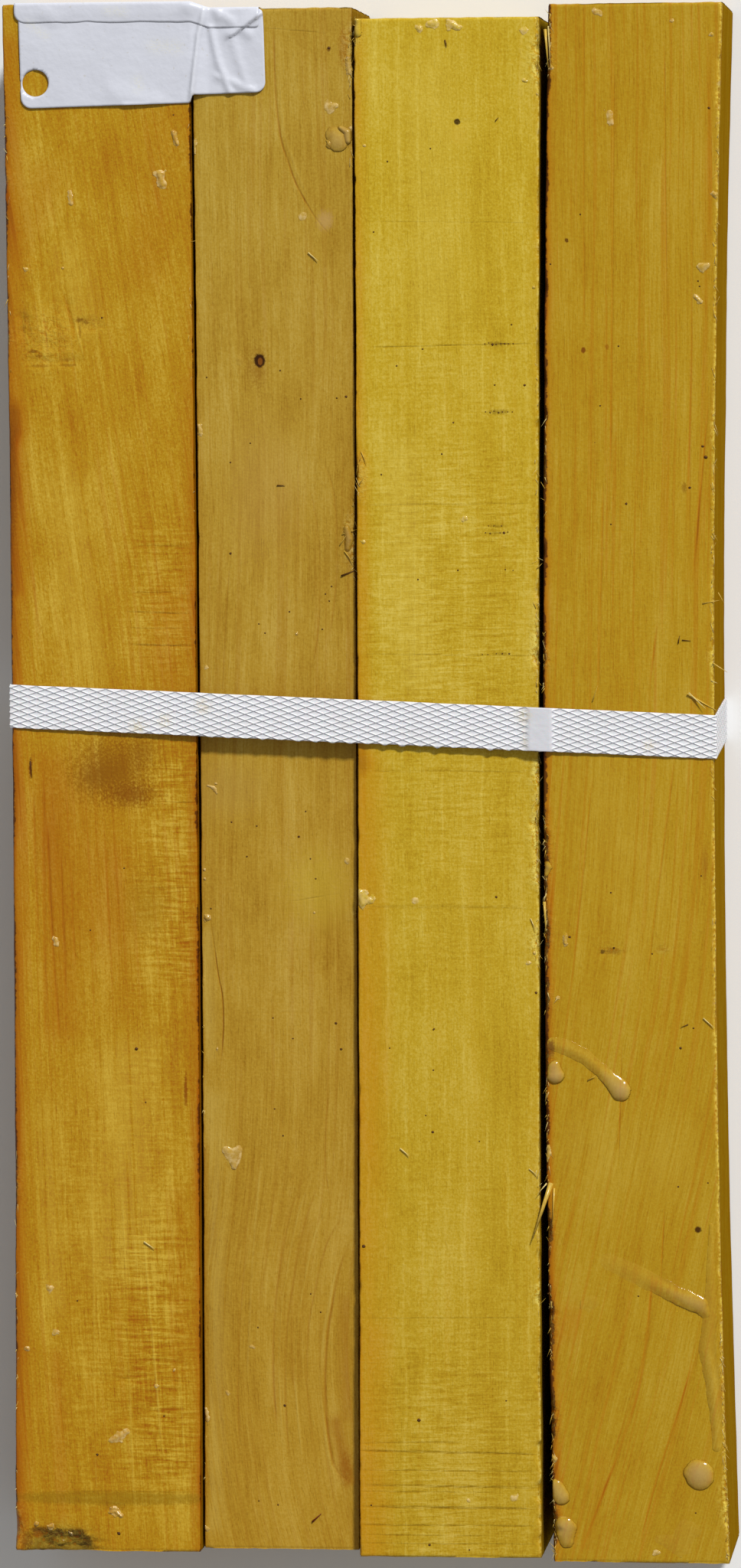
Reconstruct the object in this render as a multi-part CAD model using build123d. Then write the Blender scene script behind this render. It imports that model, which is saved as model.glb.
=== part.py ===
from build123d import *
import os

# Pack of four square-sawn turning blanks that lie side by side in one layer, held by one plastic strap.
# X runs across the pack, Y along the blanks from their feet to their heads, and Z up from the floor.
# The work starts at the pack's left side, at the lowest foot and on the floor, and is centred at the end.

# Strap: a welded plastic band round the pack, a little above the blanks' middle
strap_width = 12.7
strap_thickness = 0.65
strap_clearance = 0.05
strap_from_foot = 248.0
strap_drop_across = 9.3
strap_rise_to_back = 3.0

# Weld: where the strap's end lies over its beginning, measured from the pack's right side
weld_length = 8.2
weld_from_right = 51.5

# Blanks: sawn width at the strap, length, and thickness at the left arris under the strap
blank_1_width = 55.0
blank_1_length = 457.3
blank_1_thickness = 52.8
blank_2_width = 46.7
blank_2_length = 455.1
blank_2_thickness = 48.9
blank_3_width = 53.6
blank_3_length = 452.8
blank_3_thickness = 51.9
blank_4_width = 50.4
blank_4_length = 457.0
blank_4_thickness = 52.3

# How far each top falls from its left arris to its right one, and how much thicker the head is than the foot
blank_1_fall = 1.2
blank_2_fall = 0.1
blank_3_fall = 0.8
blank_4_fall = -0.5
blank_2_taper = 3.3

# How far each foot lies above the lowest one
blank_1_foot = 1.4
blank_2_foot = 1.8
blank_3_foot = 0.7
blank_4_foot = 0.0

# Rounding of the long arrises, and what is broken off at two feet, as width and height
arris_radius = 0.8
blank_1_break_width = 1.4
blank_1_break_height = 5.5
blank_4_break_width = 2.5
blank_4_break_height = 10.0

# Gaps between the blanks at the strap
gap_1_2 = 0.4
gap_2_3 = 0.4
gap_3_4 = 1.1

# Sweep of each side: how far right of its place at the strap it ends, at the head and at the foot
left_side_head = -1.1
left_side_foot = -1.2
seam_1_2_head = -0.7
seam_1_2_foot = -0.6
seam_2_3_head = 0.1
seam_2_3_foot = -0.8
blank_3_right_head = 1.1
blank_3_right_foot = -0.3
blank_4_left_head = 2.4
blank_4_left_foot = 2.0
right_side_head = 3.1
right_side_foot = 3.8

# Tags: two like plastic tags, one flat on the tops and one on the heads with a strip turned over
tag_width = 72.0
tag_height = 30.0
tag_thickness = 0.35
tag_clearance = 0.05
tag_corner_radius = 3.1
face_tag_from_left = 4.2
face_tag_reach = 28.8
face_tag_stop = 1.6
face_tag_turn = 1.4
face_tag_pleat_from_left = 51.0
face_tag_pleat_step = 2.4
face_tag_hole_diameter = 7.8
face_tag_hole_from_left = 4.4
face_tag_hole_from_foot = 7.3
end_tag_from_left = 3.8
end_tag_strip = 5.9
tag_ramp = 5.0

blank_seat = strap_thickness + strap_clearance


class Blank:
    """One blank: its sides at the strap, the sweep of each side, its ends and the plane of its top."""

    def __init__(self, left, width, length, foot, thickness, fall, taper, left_ends, right_ends):
        self.left = left
        self.right = left + width
        self.foot = foot
        self.head = foot + length
        self.left_head = self.left + left_ends[0]
        self.left_foot = self.left + left_ends[1]
        self.right_head = self.right + right_ends[0]
        self.right_foot = self.right + right_ends[1]
        self.top_at_left = blank_seat + thickness
        self.slope_across = -fall / width
        self.slope_along = taper / length

    def top(self, x, y):
        across = self.slope_across * (x - self.left)
        along = self.slope_along * (y - strap_from_foot)
        return self.top_at_left + across + along

    def section(self, left, right, y):
        corners = [(left, blank_seat), (right, blank_seat), (right, self.top(right, y)), (left, self.top(left, y))]
        rounded = fillet(Polygon(*corners, align=None).vertices(), arris_radius)
        return Plane(origin=(0, y, 0), x_dir=(1, 0, 0), z_dir=(0, -1, 0)) * rounded

    def solid(self):
        at_foot = self.section(self.left_foot, self.right_foot, self.foot)
        at_strap = self.section(self.left, self.right, strap_from_foot)
        at_head = self.section(self.left_head, self.right_head, self.head)
        return loft([at_foot, at_strap, at_head])

    def broken_at_foot(self, solid, width, height):
        corner = (self.left_foot - width, self.foot - height)
        along_foot = (self.left_foot + width, self.foot - height)
        on_foot = (self.left_foot + width, self.foot)
        on_side = (self.left_foot, self.foot + height)
        off_side = (self.left_foot - width, self.foot + height)
        wedge = Polygon(corner, along_foot, on_foot, on_side, off_side, align=None)
        return solid - extrude(wedge, 2 * self.top_at_left)


def lay_blanks():
    """The four blanks from left to right, each one its gap away from the one before."""
    left_side = (left_side_head, left_side_foot)
    seam_1_2 = (seam_1_2_head, seam_1_2_foot)
    seam_2_3 = (seam_2_3_head, seam_2_3_foot)
    blank_3_right = (blank_3_right_head, blank_3_right_foot)
    blank_4_left = (blank_4_left_head, blank_4_left_foot)
    right_side = (right_side_head, right_side_foot)
    first = Blank(0, blank_1_width, blank_1_length, blank_1_foot, blank_1_thickness,
                  blank_1_fall, 0, left_side, seam_1_2)
    second = Blank(first.right + gap_1_2, blank_2_width, blank_2_length, blank_2_foot, blank_2_thickness,
                   blank_2_fall, blank_2_taper, seam_1_2, seam_2_3)
    third = Blank(second.right + gap_2_3, blank_3_width, blank_3_length, blank_3_foot, blank_3_thickness,
                  blank_3_fall, 0, seam_2_3, blank_3_right)
    fourth = Blank(third.right + gap_3_4, blank_4_width, blank_4_length, blank_4_foot, blank_4_thickness,
                   blank_4_fall, 0, blank_4_left, right_side)
    return [first, second, third, fourth]


def make_strap(blanks):
    """A taut band: the hull of the blanks' section, skewed across the pack, with its weld on top."""
    reach = strap_width + strap_drop_across + strap_rise_to_back
    lower_edge = strap_from_foot - reach / 2
    upper_edge = strap_from_foot + reach / 2
    section = []
    for blank in blanks:
        top_left = max(blank.top(blank.left, lower_edge), blank.top(blank.left, upper_edge))
        top_right = max(blank.top(blank.right, lower_edge), blank.top(blank.right, upper_edge))
        corners = [(blank.left, blank_seat), (blank.right, blank_seat),
                   (blank.right, top_right), (blank.left, top_left)]
        section += Polyline(*corners, close=True).edges()
    hull = make_hull(section)
    inner = offset(hull, strap_clearance, kind=Kind.ARC)
    outer = offset(hull, strap_clearance + strap_thickness, kind=Kind.ARC)
    lapped = offset(hull, strap_clearance + 2 * strap_thickness, kind=Kind.ARC)
    across = Plane(origin=(0, strap_from_foot, 0), x_dir=(1, 0, 0), z_dir=(0, -1, 0))
    ring = extrude(across * (outer - inner), reach, both=True)
    lap_ring = extrude(across * (lapped - outer), reach, both=True)

    right = blanks[-1].right
    top = blanks[0].top_at_left
    slope_across = -strap_drop_across / right
    slope_back = -strap_rise_to_back / top
    band_plane = Plane(origin=(right / 2, strap_from_foot, top), x_dir=(1, slope_across, 0),
                       z_dir=(-slope_across, 1, -slope_back))
    band = band_plane * Box(2 * right, 2 * right, strap_width)
    weld_span = Pos(right - weld_from_right, strap_from_foot, top) * Box(weld_length, 2 * reach, top)
    return (ring & band) + (lap_ring & band & weld_span)


def tag_stations(blanks, left, right):
    """Where a tag bends: at each place its x, the head's y, and the top's height as a function of y."""
    first, second = blanks[0], blanks[1]
    proud_head = max(first.head, second.head)

    def lies_on(x, blank):
        return x, blank.head, lambda y: blank.top(x, y)

    def spans_seam(x):
        return x, proud_head, lambda y: max(first.top(first.right_head, y), second.top(second.left_head, y))

    return [
        lies_on(left, first),
        lies_on(first.right_head - tag_ramp, first),
        spans_seam(first.right_head),
        spans_seam(second.left_head),
        lies_on(second.left_head + tag_ramp, second),
        lies_on(right, second),
    ]


def rounded_plate(left, low, width, height):
    """A rounded rectangle with its lower left corner at a point."""
    return Pos(left + width / 2, low + height / 2) * RectangleRounded(width, height, tag_corner_radius)


def make_face_tag(blanks):
    """The tag that lies on the tops of the first two blanks, pleated at the step between them."""
    first = blanks[0]
    left = first.left_head + face_tag_from_left
    shorter_head = min(first.head, blanks[1].head)
    low = shorter_head - face_tag_reach
    pleat = left + face_tag_pleat_from_left
    hole_centre = Pos(left + face_tag_hole_from_left, low + face_tag_hole_from_foot)
    hole = hole_centre * Circle(face_tag_hole_diameter / 2)
    plate = rounded_plate(left, low, tag_width, tag_height) - hole
    plate = plate.rotate(Axis((left, shorter_head, 0), (0, 0, 1)), face_tag_turn)
    left_of_pleat = Pos(pleat - tag_width, low) * Rectangle(2 * tag_width, 4 * tag_height)
    right_of_pleat = Pos(pleat + tag_width, low) * Rectangle(2 * tag_width, 4 * tag_height)
    outline = (plate & left_of_pleat) + (Pos(0, face_tag_pleat_step) * plate & right_of_pleat)

    sections = []
    for x, head, top in tag_stations(blanks, left - tag_width / 4, left + 1.25 * tag_width):
        above = head - face_tag_stop
        below = low - tag_height / 4
        seat_above = top(above) + tag_clearance
        seat_below = top(below) + tag_clearance
        corners = [(below, seat_below), (above, seat_above),
                   (above, seat_above + tag_thickness), (below, seat_below + tag_thickness)]
        sections.append(Plane.YZ.offset(x) * Polygon(*corners, align=None))
    sheet = loft(sections, ruled=True)
    return sheet & extrude(outline, 2 * first.top_at_left)


def make_end_tag(blanks):
    """The tag on the heads of the first two blanks, with its lower strip turned down over the other tag."""
    first = blanks[0]
    left = first.left_head + end_tag_from_left
    on_heads = tag_height - end_tag_strip
    lift = 2 * tag_clearance + tag_thickness
    panel_foot = first.top_at_left + lift - on_heads

    sections = []
    for x, head, top in tag_stations(blanks, left, left + tag_width):
        strip_edge = head - end_tag_strip
        inner_head = head + tag_clearance
        outer_head = inner_head + tag_thickness
        seat_head = top(head) + lift
        seat_strip = top(strip_edge) + lift
        corners = [(strip_edge, seat_strip), (inner_head, seat_head), (inner_head, panel_foot),
                   (outer_head, panel_foot), (outer_head, seat_head + tag_thickness),
                   (strip_edge, seat_strip + tag_thickness)]
        sections.append(Plane.YZ.offset(x) * Polygon(*corners, align=None))
    sheet = loft(sections, ruled=True)
    corners = []
    for across_thickness in (Axis.Y, Axis.Z):
        short_edges = sheet.edges().filter_by(across_thickness)
        short_edges = short_edges.filter_by(lambda edge: edge.length < 2 * tag_thickness).sort_by(Axis.X)
        corners += [short_edges[0], short_edges[-1]]
    return fillet(corners, tag_corner_radius)


blanks = lay_blanks()
parts = {}
for number, blank in enumerate(blanks, start=1):
    parts[f"blank_{number}"] = blank.solid()
parts["blank_1"] = blanks[0].broken_at_foot(parts["blank_1"], blank_1_break_width, blank_1_break_height)
parts["blank_4"] = blanks[3].broken_at_foot(parts["blank_4"], blank_4_break_width, blank_4_break_height)
parts["strap"] = make_strap(blanks)
parts["face_tag"] = make_face_tag(blanks)
parts["end_tag"] = make_end_tag(blanks)

# Centre the pack on the origin, with its lowest point on the floor
box = Compound(children=[part.solids()[0] for part in parts.values()]).bounding_box()
middle = box.center()
os.makedirs("parts", exist_ok=True)
for name, part in parts.items():
    placed = Pos(-middle.X, -middle.Y, -box.min.Z) * part
    export_step(placed, f"parts/{name}.step")
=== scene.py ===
import math
import bmesh
import bpy
import numpy as np
from mathutils import Matrix, Vector
from mathutils.bvhtree import BVHTree


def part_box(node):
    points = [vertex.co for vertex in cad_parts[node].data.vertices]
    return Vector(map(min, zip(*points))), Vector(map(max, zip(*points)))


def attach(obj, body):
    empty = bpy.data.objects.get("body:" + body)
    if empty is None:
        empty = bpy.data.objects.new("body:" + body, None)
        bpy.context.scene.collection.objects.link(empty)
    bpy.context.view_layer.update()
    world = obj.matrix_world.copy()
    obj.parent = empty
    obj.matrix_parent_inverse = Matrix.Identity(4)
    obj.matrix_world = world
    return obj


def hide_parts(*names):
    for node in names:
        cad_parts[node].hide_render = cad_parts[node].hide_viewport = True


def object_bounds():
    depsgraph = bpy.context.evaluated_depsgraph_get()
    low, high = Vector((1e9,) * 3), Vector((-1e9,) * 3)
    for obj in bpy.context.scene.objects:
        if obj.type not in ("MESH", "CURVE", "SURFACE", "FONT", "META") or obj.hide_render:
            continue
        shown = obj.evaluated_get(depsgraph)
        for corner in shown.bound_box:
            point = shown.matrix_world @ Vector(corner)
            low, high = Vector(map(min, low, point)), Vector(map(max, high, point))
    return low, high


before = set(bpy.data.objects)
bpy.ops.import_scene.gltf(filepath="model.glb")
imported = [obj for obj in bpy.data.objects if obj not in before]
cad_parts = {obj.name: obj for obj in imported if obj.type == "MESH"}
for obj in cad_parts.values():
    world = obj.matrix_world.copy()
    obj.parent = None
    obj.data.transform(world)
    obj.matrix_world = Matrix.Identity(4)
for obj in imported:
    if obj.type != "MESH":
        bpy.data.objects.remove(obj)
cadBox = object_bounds()
scene = bpy.context.scene
scene.view_settings.view_transform = "Standard"
mm = 0.001
pixel = 0.2245  # millimetres of the blanks' tops that one pixel of the view takes in
print("frame loaded with", len(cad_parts), "nodes")

# The view: angles in degrees, distance and target in metres, lens and height of the sensor in
# millimetres, and the frame's width and height in pixels. Places that are given in pixels below are
# pixels of this frame.
view = dict(turn=6.26, lean=3.227, roll=-0.345, distance=2.0, target=(0.00117, 0.0, 0.052), lens=156.3,
            sensor=36, width=968, height=2048)


def makeCamera():
    turn, lean, roll = (math.radians(view[key]) for key in ("turn", "lean", "roll"))
    back = Vector((math.sin(turn) * math.cos(lean), math.sin(lean), math.cos(turn) * math.cos(lean)))
    right = Vector((0, 1, 0)).cross(back).normalized()
    up = back.cross(right)
    across = right * math.cos(roll) + up * math.sin(roll)
    upward = up * math.cos(roll) - right * math.sin(roll)
    data = bpy.data.cameras.new("camera")
    data.sensor_fit = "VERTICAL"
    data.sensor_height = view["sensor"]
    data.lens = view["lens"]
    data.clip_start = 0.05
    camera = bpy.data.objects.new("camera", data)
    scene.collection.objects.link(camera)
    place = Matrix.Translation(Vector(view["target"]) + back * view["distance"])
    camera.matrix_world = place @ Matrix((across, upward, back)).transposed().to_4x4()
    scene.camera = camera
    return camera.matrix_world.translation.copy(), across, upward, back


eye, eyeAcross, eyeUp, eyeBack = makeCamera()


def lineOfSight(px, py):
    # the direction in which a pixel looks
    focal = view["lens"] / view["sensor"] * view["height"]
    across, down = px - view["width"] / 2, py - view["height"] / 2
    direction = eyeAcross * across / focal - eyeUp * down / focal - eyeBack
    return direction.normalized()


def spot(px, py, height):
    # where a pixel's line of sight meets the level plane at a height, in millimetres
    direction = lineOfSight(px, py)
    reach = (height * mm - eye.z) / direction.z
    place = eye + direction * reach
    return place.x / mm, place.y / mm


def softNoise(u, v, seed):
    # smooth noise between -1 and 1 with features one unit long, the same on each run
    rows, columns = 97, 89
    table = np.random.default_rng(seed).random((rows, columns))
    iu, iv = np.floor(u).astype(int), np.floor(v).astype(int)
    fu, fv = u - iu, v - iv
    fu, fv = fu * fu * (3 - 2 * fu), fv * fv * (3 - 2 * fv)
    near, far = (table[iu % rows, k % columns] * (1 - fu) + table[(iu + 1) % rows, k % columns] * fu
                 for k in (iv, iv + 1))
    return 2 * (near * (1 - fv) + far * fv) - 1


def lineNoise(u, seed, row=0):
    # the same noise along a single line
    return softNoise(u, np.full_like(u, row), seed)


def crowd(t, share):
    # moves grid lines towards both ends of 0..1
    return t - share * np.sin(2 * np.pi * t) / (2 * np.pi)


def newMesh(bm, name):
    # hands a finished bmesh over to a mesh of its own
    mesh = bpy.data.meshes.new(name)
    bm.to_mesh(mesh)
    bm.free()
    return mesh


def newPiece(mesh, name):
    piece = bpy.data.objects.new(name, mesh)
    scene.collection.objects.link(piece)
    return piece


def treeOf(mesh):
    # tells where a straight line meets the mesh
    return BVHTree.FromPolygons([v.co for v in mesh.vertices], [p.vertices for p in mesh.polygons])


def readPoints(mesh):
    points = np.zeros(len(mesh.vertices) * 3)
    mesh.vertices.foreach_get("co", points)
    return points.reshape(-1, 3)


def writePoints(mesh, points):
    mesh.vertices.foreach_set("co", points.ravel())
    mesh.update()


def writeAttribute(mesh, name, values):
    layer = mesh.attributes.new(name, "FLOAT", "POINT")
    layer.data.foreach_set("value", values)


def paintNode(name, material):
    # a CAD node wears the material of the finer piece that replaces it
    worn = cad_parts[name].data.materials
    worn.clear()
    worn.append(material)


def finishPiece(piece, slotName, *replaced):
    for polygon in piece.data.polygons:
        polygon.use_smooth = True
    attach(piece, "root")
    if replaced:
        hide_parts(*replaced)


# The light: one wide lamp behind the heads, far off so that it lights the whole floor alike, and an even
# pale surround, which the camera sees brighter than it shines. Lengths are in metres.
lightLook = dict(toLamp=(0.55, 1.1, 1.0), distance=24.0, lampSize=3.0, lampPower=6039.0, surround=0.34,
                 backdrop=0.86, floor=(0.80, 0.80, 0.79), floorReach=4)


def makeLight():
    lampData = bpy.data.lights.new("keyLamp", "AREA")
    lampData.shape = "DISK"
    lampData.size = lightLook["lampSize"]
    lampData.energy = lightLook["lampPower"]
    lamp = bpy.data.objects.new("keyLamp", lampData)
    scene.collection.objects.link(lamp)
    toLamp = Vector(lightLook["toLamp"]).normalized()
    lamp.location = toLamp * lightLook["distance"]
    lamp.rotation_euler = toLamp.to_track_quat("Z", "Y").to_euler()
    world = bpy.data.worlds.new("surround")
    scene.world = world
    world.use_nodes = True
    tree = world.node_tree
    background = tree.nodes["Background"]
    background.inputs["Color"].default_value = (1, 1, 1, 1)
    rays = tree.nodes.new("ShaderNodeLightPath")
    shown = tree.nodes.new("ShaderNodeMix")
    shown.inputs[2].default_value = lightLook["surround"]
    shown.inputs[3].default_value = lightLook["backdrop"]
    tree.links.new(rays.outputs["Is Camera Ray"], shown.inputs[0])
    tree.links.new(shown.outputs[0], background.inputs["Strength"])
    bm = bmesh.new()
    bmesh.ops.create_grid(bm, x_segments=8, y_segments=8, size=lightLook["floorReach"])
    floor = newPiece(newMesh(bm, "floor"), "floor")
    paint = bpy.data.materials.new("floorPaint")
    paint.use_nodes = True
    surface = paint.node_tree.nodes["Principled BSDF"]
    surface.inputs["Base Color"].default_value = (*lightLook["floor"], 1)
    surface.inputs["Roughness"].default_value = 0.9
    floor.data.materials.append(paint)


makeLight()
print("camera, light and floor set")


class Surface:
    # a material's node tree, with short calls for the nodes used here

    def __init__(self, name):
        self.material = bpy.data.materials.new(name)
        self.material.use_nodes = True
        self.tree = self.material.node_tree
        self.shader = self.tree.nodes["Principled BSDF"]

    def node(self, kind, inputs=(), **settings):
        made = self.tree.nodes.new("ShaderNode" + kind)
        for key, value in settings.items():
            setattr(made, key, value)
        for socket, value in dict(inputs).items():
            self.feed(made.inputs[socket], value)
        return made

    def feed(self, socket, value):
        if isinstance(value, bpy.types.NodeSocket):
            self.tree.links.new(value, socket)
        elif isinstance(value, (tuple, list)) and len(value) == 3 and socket.type == "RGBA":
            socket.default_value = (*value, 1)
        else:
            socket.default_value = value

    def place(self):
        # Object coordinates in millimetres
        here = self.node("TexCoord").outputs["Object"]
        return self.node("VectorMath", {0: here, 3: 1 / mm}, operation="SCALE").outputs[0]

    def attribute(self, name):
        return self.node("Attribute", attribute_name=name).outputs["Fac"]

    def split(self, vector):
        return self.node("SeparateXYZ", {0: vector}).outputs

    def join(self, x, y, z):
        return self.node("CombineXYZ", {0: x, 1: y, 2: z}).outputs[0]

    def math(self, operation, a, b=0.0, c=0.0):
        return self.node("Math", {0: a, 1: b, 2: c}, operation=operation).outputs[0]

    def times(self, a, b):
        return self.math("MULTIPLY", a, b)

    def plus(self, a, b):
        return self.math("ADD", a, b)

    def minus(self, a, b):
        return self.math("SUBTRACT", a, b)

    def absolute(self, a):
        return self.math("ABSOLUTE", a)

    def addScaled(self, part, strength, base):
        # part times strength, added to base
        return self.math("MULTIPLY_ADD", part, strength, base)

    def stretch(self, vector, x, y, z):
        return self.node("VectorMath", {0: vector, 1: (x, y, z)}, operation="MULTIPLY").outputs[0]

    def noise(self, vector, scale, detail=2.0, roughness=0.5, warp=0.0):
        inputs = {"Vector": vector, "Scale": scale, "Detail": detail, "Roughness": roughness,
                  "Distortion": warp}
        return self.node("TexNoise", inputs).outputs["Fac"]

    def range(self, value, low, high, toLow=0.0, toHigh=1.0, kind="LINEAR"):
        inputs = {0: value, 1: low, 2: high, 3: toLow, 4: toHigh}
        return self.node("MapRange", inputs, interpolation_type=kind).outputs[0]

    def mixColor(self, share, first, second, kind="MIX"):
        made = self.node("Mix", data_type="RGBA", blend_type=kind)
        self.feed(made.inputs[0], share)
        self.feed(made.inputs[6], first)
        self.feed(made.inputs[7], second)
        return made.outputs[2]

    def mixValue(self, share, first, second):
        return self.node("Mix", {0: share, 2: first, 3: second}).outputs[0]

    def ramp(self, value, stops):
        made = self.node("ValToRGB", {0: value})
        points = made.color_ramp.elements
        while len(points) < len(stops):
            points.new(0.5)
        for point, (position, color) in zip(points, stops):
            point.position = position
            point.color = (*color, 1)
        return made.outputs[0]

    def curve(self, value, points):
        made = self.node("FloatCurve", {"Value": value})
        line = made.mapping.curves[0]
        while len(line.points) < len(points):
            line.points.new(0.5, 0.5)
        for point, place in zip(line.points, points):
            point.location = place
        made.mapping.update()
        return made.outputs[0]

    def bump(self, height, strength, distance):
        return self.node("Bump", {"Height": height, "Strength": strength, "Distance": distance}).outputs[0]

    def set(self, **sockets):
        names = dict(color="Base Color", roughness="Roughness", specular="Specular IOR Level",
                     normal="Normal", coat="Coat Weight", coatRoughness="Coat Roughness",
                     coatIor="Coat IOR", coatNormal="Coat Normal", scatter="Subsurface Weight",
                     scatterScale="Subsurface Scale")
        for key, value in sockets.items():
            self.feed(self.shader.inputs[names[key]], value)
        return self.material


# the four blanks

# What is the same on all four: how often the sawn cube is cut across each axis, and the tones of what the
# wax and the saw have done to the wood, from 0 to 255
blankCuts = ((1, 480), (0, 47), (2, 25))
blankTones = dict(fringe=(74, 34, 6), deepStain=(104, 46, 0), chalk=(206, 182, 122))

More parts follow.
